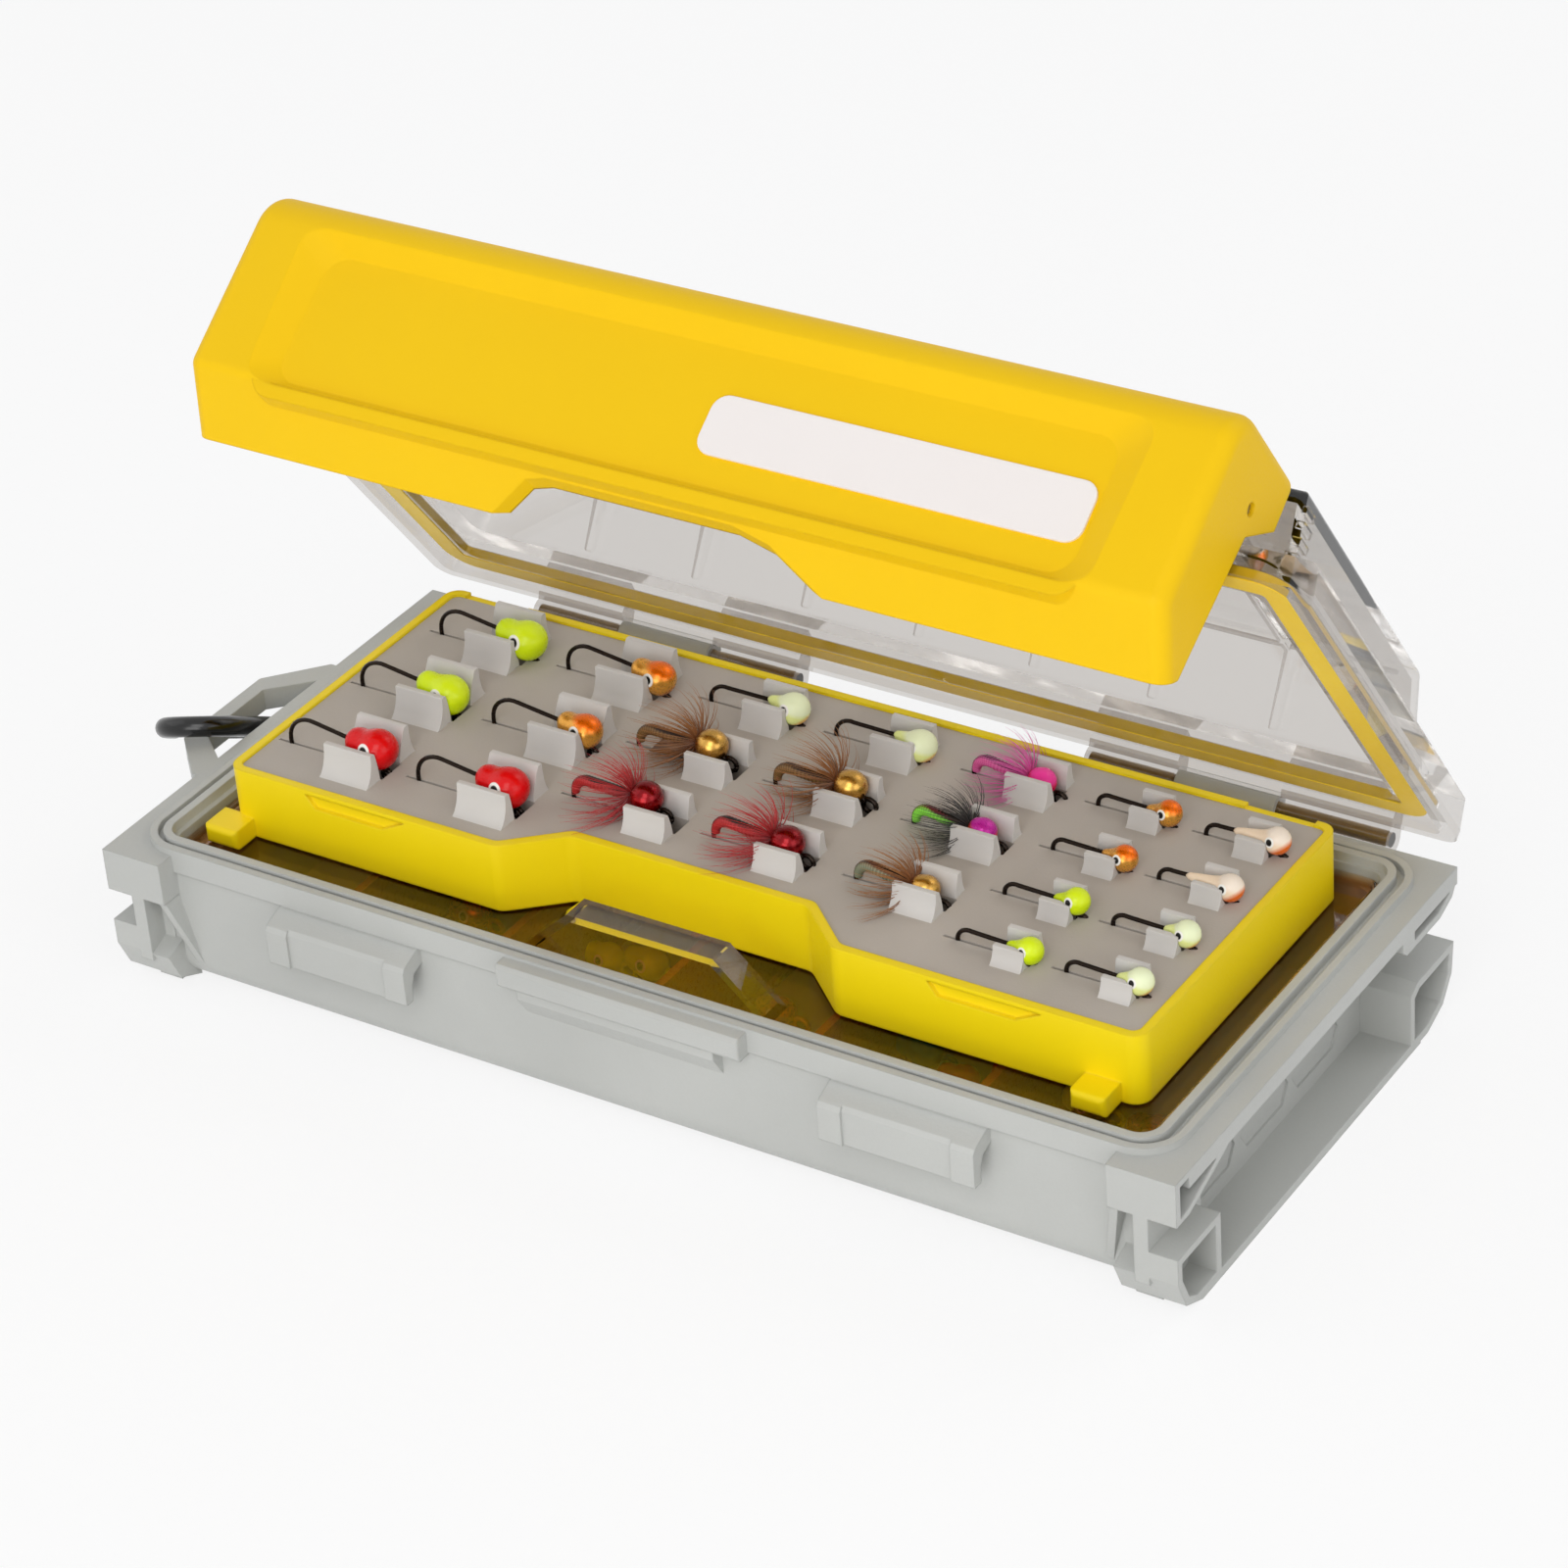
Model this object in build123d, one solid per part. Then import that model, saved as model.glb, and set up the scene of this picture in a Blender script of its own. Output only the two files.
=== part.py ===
from build123d import *
import math
import os

os.makedirs("parts", exist_ok=True)

# All lengths are millimetres. X runs along the box, Y towards the hinge, Z up.
# The origin is the middle of the tub's footprint, on the surface it stands on.

# Tub
LENGTH = 190.0
DEPTH = 88.7
FLANGE_TOP = 24.6
FLANGE_UNDER = 21.6
CORE_X = 86.5
WALL_FRONT = -40.4
WALL_REAR = 41.5
BAND_FRONT = -41.0
BIN_X = 84.4
BIN_FRONT = -37.4
BIN_REAR = 37.8
BIN_FLOOR = 2.0
SEAT_Z = 20.6
BLOCK_INNER = 83.9
GUSSET_X = 84.0
LUG_SPAN = (36.8, 63.0)

# Lid hinge: the axis, and how far the lid stands open
HINGE_Y = 47.4
HINGE_Z = 24.0
LID_OPEN = 54.1
KNUCKLE_R = 2.6
PIN_R = 1.2
TUB_KNUCKLES = ((-57.8, -40.4), (46.2, 63.6))
LID_KNUCKLES = ((-74.8, -58.1), (-40.1, -23.6), (30.3, 45.9), (63.9, 82.8))
PIN_SPANS = ((-74.6, -23.8), (30.5, 82.6))

# Lid, as it lies when shut
LID_X = 94.6
LID_UNDER = 26.5
LID_FLANGE_TOP = 31.5
DOME_TOP = 45.4
DOME_FRONT = -30.4
DECK_TOP = 37.2
DECK_X = 80.6

# Latch pivot, in the shut lid, and the section of the latch about it
PIVOT_Y = -43.4
PIVOT_Z = 35.3
LATCH_PIN_R = 1.0
LATCH_X = 83.2
LATCH_WALL = 2.0
LATCH_PROFILE = ((-34.2, 45.2), (-57.2, 45.2), (-56.6, 14.1), (-46.4, 6.2),
                 (-43.6, 8.6), (-43.3, 13.2), (-41.7, 31.8), (-33.9, 36.6))
LATCH_HOLLOW = ((-30.0, 43.2), (-55.2, 43.2), (-54.6, 15.1), (-45.2, 7.8),
                (-38.0, 2.0), (-30.0, 2.0))

# Tray that carries the jigs, and the clear door that it sits on
TRAY_X = 81.2
TRAY_FRONT = -28.3
TRAY_NOTCH = -20.6
TRAY_REAR = 32.8
TRAY_UNDER = 22.7
TRAY_TOP = 34.6
PAD_TOP = 34.2
TRAY_WALL = 1.4
DOOR_UNDER = 20.8
DOOR_TOP = 22.4

# Jig sizes: head radius, head height over the pad, length from head to bend,
# bend width, and the pad's lips: length, end past the head, foot, front and rear height
SIZES = {"large": (2.8, 3.4, 18.4, 3.3, 9.2, 1.1, 8.9, 5.4, 5.0),
         "middle": (2.4, 2.9, 16.6, 2.6, 7.6, 0.3, 6.6, 3.8, 2.6),
         "small": (2.15, 2.5, 14.2, 2.0, 6.8, -0.2, 5.8, 3.5, 1.9)}

# Jigs in the pad: x and y of the head, size and colour
JIGS = (
    (-56.9, 19.8, "large", "chartreuse"), (-59.6, 1.5, "large", "chartreuse"),
    (-60.1, -18.0, "large", "red"), (-32.1, 20.1, "large", "orange"),
    (-33.8, 1.7, "large", "orange"), (-35.4, -17.9, "large", "red"),
    (-8.4, 22.1, "middle", "glow"), (-14.1, 8.3, "small", "brass"),
    (-14.9, -9.5, "small", "ruby"), (15.2, 21.5, "middle", "glow"),
    (11.2, 7.6, "small", "brass"), (11.3, -10.5, "small", "ruby"),
    (36.7, 21.7, "small", "ruby"), (35.6, 6.0, "small", "ruby"),
    (35.4, -10.8, "small", "brass"), (58.5, 22.1, "small", "orange"),
    (57.9, 8.5, "small", "orange"), (57.6, -4.9, "small", "chartreuse"),
    (57.5, -18.5, "small", "chartreuse"), (76.2, 22.5, "small", "white"),
    (75.3, 8.7, "small", "white"), (75.5, -4.5, "small", "glow"),
    (75.5, -18.0, "small", "glow"))
HEAD_FLATS = 6
WIRE_R = 0.36
SLIT_WIDTH = 1.2

# Snap hook on the side loop: where the loop's bar runs through it, and its axes
LOOP_BAR = (-103.1, -5.0, 22.7)
LOOP_TOP = 24.6
LOOP_UNDER = 20.8
SNAP_ACROSS = (0.953, 0.139, 0.213)
SNAP_ALONG = (0, 0.869, -0.495)
SNAP_LENGTH = 24.4
SNAP_WIDTH = 15.4
SNAP_BAR = 3.4
SNAP_SHIFT = -0.3
SNAP_MIDDLE = SNAP_LENGTH / 2 - 11.2
GATE_X = SNAP_SHIFT + (SNAP_BAR - SNAP_WIDTH) / 2
GATE_LENGTH = 9.4
GATE_PIN_Y = SNAP_MIDDLE + GATE_LENGTH / 2 - 1.0
GATE_PIN_R = 0.5


def slab(x0, x1, y0, y1, z0, z1):
    """A straight-sided block between two corners."""
    middle = ((x0 + x1) / 2, (y0 + y1) / 2, (z0 + z1) / 2)
    return Pos(*middle) * Box(x1 - x0, y1 - y0, z1 - z0)


def prism_x(points, x0, x1):
    """A profile drawn in Y and Z, carried along X."""
    face = Plane.YZ * make_face(Polyline(*points, close=True))
    return extrude(Pos(x0, 0, 0) * face, amount=x1 - x0)


def prism_z(points, z0, z1):
    """An outline drawn in X and Y, carried up."""
    face = make_face(Polyline(*points, close=True))
    return extrude(Pos(0, 0, z0) * face, amount=z1 - z0)


def round_plate(x, y0, y1, z0, z1, radius, taper=0):
    """A plate, centred on X, with rounded corners and drafted edges."""
    outline = RectangleRounded(2 * x, y1 - y0, radius)
    return extrude(Pos(0, (y0 + y1) / 2, z0) * outline, amount=z1 - z0, taper=taper)


def ring_plate(x, y0, y1, width, z0, z1, radius):
    """A rounded rectangular ring of even width."""
    outer = round_plate(x, y0, y1, z0, z1, radius)
    inner = round_plate(x - width, y0 + width, y1 - width, z0, z1, radius - width)
    return outer - inner


def facing_front(sketch, y):
    """A sketch drawn in X and Z, set at one depth, facing the front."""
    return Pos(0, y, 0) * (Plane.XZ * sketch)


def cylinder_x(y, z, radius, x0, x1):
    """A round bar or bore that lies along X."""
    face = Plane.YZ * Pos(y, z) * Circle(radius)
    return extrude(Pos(x0, 0, 0) * face, amount=x1 - x0)


def both_sides(shape):
    """The shape and its mirror image across the middle of the box."""
    return [shape, mirror(shape, about=Plane.YZ)]


def edges_at(shape, axis, low, high):
    """Edges along one axis whose middle lies in a Y and Z window."""
    chosen = shape.edges().filter_by(axis)
    return [e for e in chosen if low[0] <= e.center().Y <= high[0]
            and low[1] <= e.center().Z <= high[1]]


def open_lid(shape):
    """Turn a piece from the shut lid's place to where the lid stands."""
    turn = Pos(0, HINGE_Y, HINGE_Z) * Rot(-LID_OPEN, 0, 0) * Pos(0, -HINGE_Y, -HINGE_Z)
    return turn * shape


def save(shape, name):
    """Write one node, as one solid or as a group of solids."""
    if isinstance(shape, list):
        shape = Compound(children=[s for part in shape for s in part.solids()])
    shape.label = name
    export_step(shape, f"parts/{name}.step")


# The tub

def front_corner_block():
    """Right front block: an upper and a lower cored box with a slot between."""
    upper = prism_x([(-44.35, 17.2), (-40.6, 17.2), (-30.4, 20.9), (-28.6, 21.8),
                     (-28.6, FLANGE_TOP), (-44.35, FLANGE_TOP)], BLOCK_INNER, 95)
    upper -= prism_x([(-43.1, 18.0), (-40.7, 18.4), (-32.6, 21.3), (-32.6, 23.5),
                      (-43.1, 23.5)], 88, 96)
    lower = prism_x([(-44.35, 7.0), (-42.2, 2.1), (-37.4, 0), (-31.7, 0),
                     (-31.7, 11.5), (-44.35, 11.5)], 88, 95)
    lower += prism_x([(-44.35, 7.0), (-42.2, 2.1), (-37.4, 0), (-37.4, 5.5),
                      (-40.4, 8.5)], 84.6, 88.2)
    lower -= prism_x([(-43.1, 7.2), (-41.3, 3.2), (-38.9, 1.9), (-33.2, 1.9),
                      (-33.2, 10.2), (-43.1, 10.2)], 89.4, 96)
    root = slab(CORE_X - 0.5, 90.4, -40.6, -29, 0.4, 22)
    post = slab(88, 90.4, -44.35, -40, 5.5, 18)
    gusset = prism_x([(-44.35, 22.4), (-44.35, 19.0), (-40.2, 4.0), (-40.2, 22.4)],
                     -0.7, 0.7)
    gusset = Pos(GUSSET_X, 0, 14.0) * Rot(0, 13.5, 0) * Pos(0, 0, -14.0) * gusset
    gusset &= slab(78, 90, -45, -40.2, 4.6, 22.4)
    return upper + lower + root + post + gusset


def rear_corner_block():
    """Right rear block, cored from the side like the front one."""
    upper = prism_x([(26.1, 20.0), (27.4, 18.8), (38.5, 18.8), (42.6, 20.2),
                     (44.35, 22.6), (44.35, FLANGE_TOP), (26.1, FLANGE_TOP)], 86, 95)
    upper -= prism_x([(30.0, 20.0), (38.0, 20.0), (41.6, 21.4), (42.6, 23.5),
                      (30.0, 23.5)], 88, 96)
    lower = prism_x([(28.6, 0.4), (34.5, 0.4), (39.6, 2.4), (42.6, 6.4), (43.2, 11.8),
                     (31.0, 11.8), (28.6, 10.4)], 86, 95)
    lower -= prism_x([(30.0, 1.8), (34.0, 1.8), (38.6, 3.6), (41.2, 7.0), (41.7, 10.4),
                      (31.6, 10.4), (30.0, 9.4)], 88, 96)
    return upper + lower


def side_slots():
    """Three shallow moulded slots on the right side wall."""
    slots = []
    for y in (-19.0, -2.2, 13.9):
        outline = [(y - 7.5, 7.2), (y - 5.6, 4.2), (y + 5.6, 4.2), (y + 7.5, 7.2),
                   (y + 5.6, 10.2), (y - 5.6, 10.2)]
        slots.append(prism_x(outline, CORE_X - 0.35, CORE_X + 1))
    return slots


def catch_lug():
    """Front catch: a lip that hangs clear of the wall, with end pads."""
    x0, x1 = LUG_SPAN
    profile = [(-40.2, 21.5), (-41.4, 21.5), (-44.4, 20.4), (-44.9, 19.6), (-44.9, 13.6),
               (-43.5, 13.6), (-43.4, 16.4), (-42.6, 18.0), (-40.2, 18.8)]
    lug = prism_x(profile, x0, x1)
    pad = [(-43.8, 20.6), (-44.8, 20.2), (-45.3, 19.4), (-45.3, 13.6), (-43.5, 13.6)]
    for a, b in ((x0, x0 + 4), (x1 - 4, x1)):
        lug += prism_x(pad, a, b)
    return lug


def finger_ledge():
    """The thumb rest in the middle of the front."""
    lip = prism_x([(-40.6, 25.2), (-43.0, 25.2), (-43.6, 24.6), (-43.6, 21.8),
                   (-43.0, 21.1), (-40.2, 21.1)], -20.5, 22.5)
    lip = fillet(edges_at(lip, Axis.Z, (-43.7, 21), (-43.5, 26)), 0.5)
    body = prism_x([(-40.2, 21.4), (-42.7, 21.4), (-42.7, 19.4), (-40.2, 15.4)],
                   -17.5, 17.5)
    return lip + body


def tub_knuckles():
    """The tub's share of the hinge barrel, with its root on the rear wall."""
    knuckles = []
    for x0, x1 in TUB_KNUCKLES:
        root = prism_x([(WALL_REAR, 17.5), (44.6, 19.2), (HINGE_Y, HINGE_Z - KNUCKLE_R),
                        (HINGE_Y, HINGE_Z + 0.4), (WALL_REAR, FLANGE_TOP)], x0, x1)
        knuckles.append(root + cylinder_x(HINGE_Y, HINGE_Z, KNUCKLE_R, x0, x1))
    return knuckles


def side_loop():
    """The fixed loop on the left side that a snap hook clips to."""
    outer = prism_z([(-94, -20.3), (-96.0, -20.3), (-104.9, -11.3), (-104.9, 7.0),
                     (-96.0, 17.0), (-94, 17.0)], LOOP_UNDER, LOOP_TOP)
    outer = chamfer([e for e in outer.edges().filter_by(Axis.Z) if e.center().X < -104], 1.6)
    inner = prism_z([(-94, -15.6), (-101.3, -9.6), (-101.3, 5.4), (-94, 12.6)],
                    LOOP_UNDER - 1, LOOP_TOP + 1)
    loop = outer - inner
    rim = [e for e in loop.edges().filter_by(Axis.Y) if abs(e.center().X + 104.9) < 0.1]
    return chamfer(rim, 0.9)


def base_tub():
    """One moulding: tub, rim band, corner blocks, catches and knuckles."""
    core = slab(-CORE_X, CORE_X, WALL_FRONT, WALL_REAR, 0, 23)
    core = fillet(edges_at(core, Axis.X, (-41, -1), (-40, 1)), 6.0)
    core = fillet(edges_at(core, Axis.X, (41, -1), (42, 1)), 5.0)
    flange = slab(-95, 95, -40.5, 44.35, FLANGE_UNDER, FLANGE_TOP)
    band = slab(-BLOCK_INNER, BLOCK_INNER, BAND_FRONT, -39, 21.5, FLANGE_TOP)
    tub = core + flange + band
    for shape in (front_corner_block(), rear_corner_block(),
                  slab(CORE_X - 1, 95, -36, 32, 0, 1.6)):
        tub += both_sides(shape)
    tub += both_sides(catch_lug())
    tub += [finger_ledge(), side_loop()] + tub_knuckles()
    tub += ring_plate(91.6, BAND_FRONT, 41.8, 1.3, FLANGE_TOP - 0.2, 25.8, 7)
    tub += ring_plate(89.0, -39.2, 39.6, 1.4, FLANGE_TOP - 0.2, 26.2, 4.6)
    tub -= round_plate(BIN_X, BIN_FRONT, BIN_REAR, BIN_FLOOR, 30, 3)
    tub -= round_plate(86.6, BIN_FRONT, BIN_REAR, SEAT_Z, 30, 3)
    for slot in side_slots():
        tub -= both_sides(slot)
    for x0, x1 in PIN_SPANS:
        tub -= cylinder_x(HINGE_Y, HINGE_Z, PIN_R + 0.05, x0 - 1, x1 + 1)
    return tub


def bin_dividers():
    """Five loose walls that part the tub into six bins, each with a heel."""
    walls = []
    for x in (-56.2, -28.1, 0, 28.1, 56.2):
        wall = slab(x - 0.7, x + 0.7, BIN_FRONT + 0.3, BIN_REAR - 0.3, BIN_FLOOR, 19.6)
        heel = prism_x([(-20, BIN_FLOOR), (20, BIN_FLOOR), (17, 3.4), (-17, 3.4)],
                       x - 1.6, x + 1.6)
        walls.append(wall + heel)
    return walls


# The lid

def dome(x_low, x_high, y0, y_low, y_high, z0, z1):
    """A raised box with drafted sides, a sloping back and a straight front."""
    long_section = prism_x([(y0, z0), (y_low, z0), (y_high, z1), (y0, z1)], -x_low, x_low)
    end = make_face(Polyline((-x_low, z0), (x_low, z0), (x_high, z1), (-x_high, z1), close=True))
    return long_section & extrude(facing_front(end, y0), amount=y_low - y0, both=True)


def pivot_ear():
    """The right ear that carries the latch pin, on the front of the deck."""
    ear = prism_x([(-40, 31.9), (-43.8, 32.1), (-43.8, 38.5), (-40, 37.2)], 76.6, DECK_X)
    ear += cylinder_x(PIVOT_Y, PIVOT_Z, 3.2, 76.6, DECK_X)
    return ear - cylinder_x(PIVOT_Y, PIVOT_Z, LATCH_PIN_R + 0.05, 75, 82)


def lid_knuckle(x0, x1):
    """One clear knuckle and the leaf that joins it to the lid's rear edge."""
    leaf = prism_x([(43.8, 27.4), (44.9, 25.4), (46.6, 23.2), (49.4, 25.6), (46.0, 30.8),
                    (43.8, 31.3)], x0, x1)
    return leaf + cylinder_x(HINGE_Y, HINGE_Z, KNUCKLE_R, x0, x1)


def lid_ribs():
    """Ribs under the dome: crossways, and one along the back."""
    ribs = []
    for x in (-63, -42, -21, 0, 21, 42, 63):
        ribs.append(prism_x([(-28.4, 44.4), (-28.4, 42.7), (29.0, 42.7), (34.2, 32.0),
                             (36.2, 32.0), (31.4, 44.4)], x - 0.6, x + 0.6))
    ribs.append(prism_x([(26.4, 42.8), (27.8, 42.8), (27.8, 44.4), (26.4, 44.4)], -81, 81))
    return ribs


def lid_shell():
    """The clear lid: flange, dome, front deck, ribs, ears and knuckles."""
    flange = round_plate(LID_X, BAND_FRONT, 44.4, LID_UNDER, LID_FLANGE_TOP, 3, taper=12)
    skirt = round_plate(LID_X, BAND_FRONT, 44.4, 25.0, LID_UNDER, 3)
    skirt -= round_plate(92.1, -46, 42.2, 24, 28, 2)
    shell = flange + skirt
    hood = dome(87, 84, DOME_FRONT, 37.6, 32.0, LID_FLANGE_TOP - 0.5, DOME_TOP)
    uprights = [e for e in hood.edges() if e.center().Y > 30 and 36 < e.center().Z < 40]
    hood = fillet(uprights, 3.0)
    hood = fillet(hood.faces().sort_by(Axis.Z)[-1].edges(), 1.4)
    deck = slab(-DECK_X, DECK_X, BAND_FRONT, DOME_FRONT + 1, LID_FLANGE_TOP - 0.5, DECK_TOP)
    deck = fillet(edges_at(deck, Axis.X, (-41.1, 37), (-40.9, 37.4)), 2.0)
    shell += [hood, deck]
    shell -= dome(85.2, 82.3, DOME_FRONT + 1.8, 35.6, 30.3, LID_FLANGE_TOP - 1, 43.6)
    shell -= slab(-78.8, 78.8, -35.2, -27, 27, 35.4)
    shell -= round_plate(85.6, -35.2, 36.4, 24, LID_FLANGE_TOP - 0.2, 3)
    shell += lid_ribs()
    shell += both_sides(pivot_ear())
    for z in (34.4, 36.8, 39.2, 41.6):
        shell += both_sides(slab(84.4, 87.0 - (z - 31.5) * 0.18, DOME_FRONT - 0.5, -27.2, z, z + 1.1))
    shell += [lid_knuckle(x0, x1) for x0, x1 in LID_KNUCKLES]
    shell -= ring_plate(90.6, -39.9, 41.1, 4.2, 24, 28.3, 5)
    for x0, x1 in PIN_SPANS:
        shell -= cylinder_x(HINGE_Y, HINGE_Z, PIN_R, x0, x1)
    return shell


def lid_gasket():
    """The soft seal that sits in the groove under the flange."""
    return ring_plate(90.5, -39.8, 41.0, 4.0, 26.4, 28.2, 4.9)


# The latch

def latch_blank():
    """The latch's outer form, before it is hollowed."""
    blank = prism_x(LATCH_PROFILE, -LATCH_X, LATCH_X)
    blank = fillet(edges_at(blank, Axis.X, (-57.4, 45), (-57, 45.4)), 6.5)
    blank = fillet(edges_at(blank, Axis.X, (-56.8, 14), (-56.4, 14.3)), 2.4)
    ends = [e for e in blank.edges() if abs(abs(e.center().X) - LATCH_X) < 0.1
            and (e.center().Y < -52 or e.center().Z > 44) and e.length > 4]
    return fillet(ends, 2.6)


def latch_notch():
    """The finger opening cut into the lower edge."""
    outline = [(-29.5, 3), (-28.5, 6.0), (-21.5, 10.6), (-18, 11.2), (14, 11.2),
               (20, 10.2), (29.0, 6.0), (30.5, 3)]
    face = facing_front(make_face(Polyline(*outline, close=True)), -38)
    return extrude(face, amount=16.5)


def latch_recess():
    """The long dished panel on the face, with drafted walls."""
    mouth = facing_front(Pos(-0.5, 25.2) * RectangleRounded(139, 25.6, 3.4), -58.6)
    return extrude(mouth, amount=-3.0, taper=30)


def latch_hooks():
    """Ribs inside the lower edge that catch under the lugs."""
    profile = [(-55.4, 13.9), (-45.9, 12.9), (-45.9, 11.7), (-48.6, 10.6), (-55.4, 15.9)]
    return both_sides(prism_x(profile, LUG_SPAN[0] + 1.2, LUG_SPAN[1] - 1.2))


def latch_cover():
    """The full-width latch: a hollow channel closed by its two cheeks."""
    cover = latch_blank()
    hollow = prism_x(LATCH_HOLLOW, -LATCH_X + LATCH_WALL, LATCH_X - LATCH_WALL)
    hollow = fillet(edges_at(hollow, Axis.X, (-55.3, 43), (-55, 43.4)), 4.8)
    cover -= hollow
    bump = facing_front(Pos(-0.5, 25.2) * RectangleRounded(141, 27.4, 4), -56.2)
    backing = extrude(bump, amount=-2.9)
    cover += backing
    cover -= latch_recess()
    cover -= latch_notch()
    for hook in latch_hooks():
        cover += hook
    return cover - cylinder_x(PIVOT_Y, PIVOT_Z, LATCH_PIN_R + 0.05, -90, 90)


def label_strip():
    """The blank writing strip that lies in the dished panel."""
    face = facing_front(Pos(35.5, 24.6) * RectangleRounded(62.6, 9.6, 2.6), -55.6)
    return extrude(face, amount=0.45)


def latch_pin(x0, x1):
    """A short headed pin, from the cheek into the lid's ear."""
    return cylinder_x(PIVOT_Y, PIVOT_Z, LATCH_PIN_R, x0, x1)


# The clear door and the jig tray

def inner_door():
    """The clear door over the bins, with its rim and its arched pull."""
    door = round_plate(86.3, BIN_FRONT + 0.3, BIN_REAR - 0.3, DOOR_UNDER, DOOR_TOP, 2.8)
    rim = ring_plate(86.3, BIN_FRONT + 0.3, BIN_REAR - 0.3, 0.9, DOOR_TOP - 0.2, 23.3, 2.8)
    outer = [(-22.6, 22.2), (-13.0, 31.0), (13.0, 31.0), (22.6, 22.2)]
    inner = [(-20.9, 22.0), (-12.4, 29.8), (12.4, 29.8), (20.9, 22.0)]
    arch = make_face(Polyline(*outer, *reversed(inner), close=True))
    pull = extrude(facing_front(arch, -29.6), amount=4.8)
    return door + rim + pull


def tray_outline(grow):
    """The tray's plan, with the finger bay in its front, grown outwards."""
    bay = grow * 0.45
    return [(-TRAY_X - grow, TRAY_REAR + grow), (-TRAY_X - grow, TRAY_FRONT - grow),
            (-30.0 + bay, TRAY_FRONT - grow), (-21.0 + bay, TRAY_NOTCH - grow),
            (21.0 - bay, TRAY_NOTCH - grow), (30.0 - bay, TRAY_FRONT - grow),
            (TRAY_X + grow, TRAY_FRONT - grow), (TRAY_X + grow, TRAY_REAR + grow)]


def tray_body(grow, z0, z1, corner, bend):
    """A block on the tray's plan with its bends rounded."""
    block = prism_z(tray_outline(grow), z0, z1)
    upright = block.edges().filter_by(Axis.Z)
    block = fillet([e for e in upright if abs(e.center().X) < 40], bend)
    upright = block.edges().filter_by(Axis.Z)
    return fillet([e for e in upright if abs(e.center().X) > 75], corner)


def finger_relief(x0, x1):
    """A shallow dip moulded under the rim of the front wall."""
    outline = [(x0, TRAY_TOP - 0.9), (x0 + 1.6, TRAY_TOP - 3.2), (x1 - 4.5, TRAY_TOP - 3.2),
               (x1, TRAY_TOP - 0.9)]
    face = facing_front(make_face(Polyline(*outline, close=True)), TRAY_FRONT + 0.7)
    return extrude(face, amount=3)


def tray_frame():
    """The yellow tray: walls, floor, feet, corner posts and reliefs."""
    tray = tray_body(0, TRAY_UNDER, TRAY_TOP, 2.6, 3.0)
    tray -= tray_body(-TRAY_WALL, TRAY_UNDER + 1.4, TRAY_TOP + 1, 1.4, 2.4)
    rim = tray_body(0, TRAY_TOP - 0.2, 36.2, 2.6, 3.0)
    rim -= tray_body(-TRAY_WALL, TRAY_TOP - 1, 37, 1.4, 2.4)
    tray += rim & both_sides(slab(78.2, 82, 29.6, 34, 34, 37))
    tray -= both_sides(slab(66, 77.6, TRAY_REAR - 2, TRAY_REAR + 1, 34.0, 37))
    for x0, x1 in ((-83.4, -77.2), (71.8, 77.6)):
        foot = slab(x0, x1, -33.2, TRAY_FRONT + 0.8, TRAY_UNDER, 26.0)
        tray += fillet(foot.edges().group_by(Axis.Y)[0], 0.9)
    tray -= finger_relief(-66.0, -47.0)
    tray -= finger_relief(46.0, 65.0)
    return tray


def jig_slit(x, y, size):
    """The cut that grips one hook, and the well under its head."""
    radius, lift, reach, bend, lip, end = SIZES[size][:6]
    half = SLIT_WIDTH / 2
    slit = slab(x - reach - 1.4, x + end, y - half, y + half, 29.4, 40)
    well = slab(x - radius - 1.2, x + end, y - radius, y + radius, PAD_TOP - 2.2, 40)
    return slit + well


def pad_lip(x, y, size, front):
    """A lip that leans up beside the head, from the front or from behind."""
    radius, lift, reach, bend, length, end, foot, tall, low = SIZES[size]
    height = tall if front else low
    side = -1 if front else 1
    base = PAD_TOP - 0.6
    reach_out = foot if front else foot * 0.8
    near = radius + 0.25
    crest = near + 0.22 * (reach_out - near)
    shoulder = crest + 0.24 * (reach_out - near)
    top = PAD_TOP + height
    outline = [(y + side * reach_out, base), (y + side * near, base), (y + side * crest, top),
               (y + side * shoulder, top),
               (y + side * (shoulder + 0.26 * (reach_out - shoulder)), base + height * 0.36)]
    return prism_x(outline, x + end - length, x + end)


def tray_pad():
    """The soft pad that fills the tray: a slit, a well and two lips for each jig."""
    pad = tray_body(-TRAY_WALL - 0.05, TRAY_UNDER + 1.45, PAD_TOP, 1.3, 2.3)
    for x, y, size, kind in JIGS:
        pad -= jig_slit(x, y, size)
    lips = []
    for x, y, size, kind in JIGS:
        lips += [pad_lip(x, y, size, True), pad_lip(x, y, size, False)]
    return pad + lips


def turned(stations, x, y, z):
    """A solid turned about X in a few flats, through (offset, radius) stations."""
    sections = [Plane(origin=(x + dx, y, z), z_dir=(1, 0, 0)) * RegularPolygon(radius, HEAD_FLATS)
                for dx, radius in stations]
    return loft(sections, ruled=True)


def jig_head(x, y, size):
    """A round head with the tapering collar that holds the shank."""
    radius, lift = SIZES[size][:2]
    ball = [(radius * math.cos(a), radius * math.sin(a)) for a in (2.3, 1.57, 0.85, 0.3)]
    stations = [(-radius * 2.1, 0.75)] + ball
    return turned(stations, x, y, PAD_TOP + lift)


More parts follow.
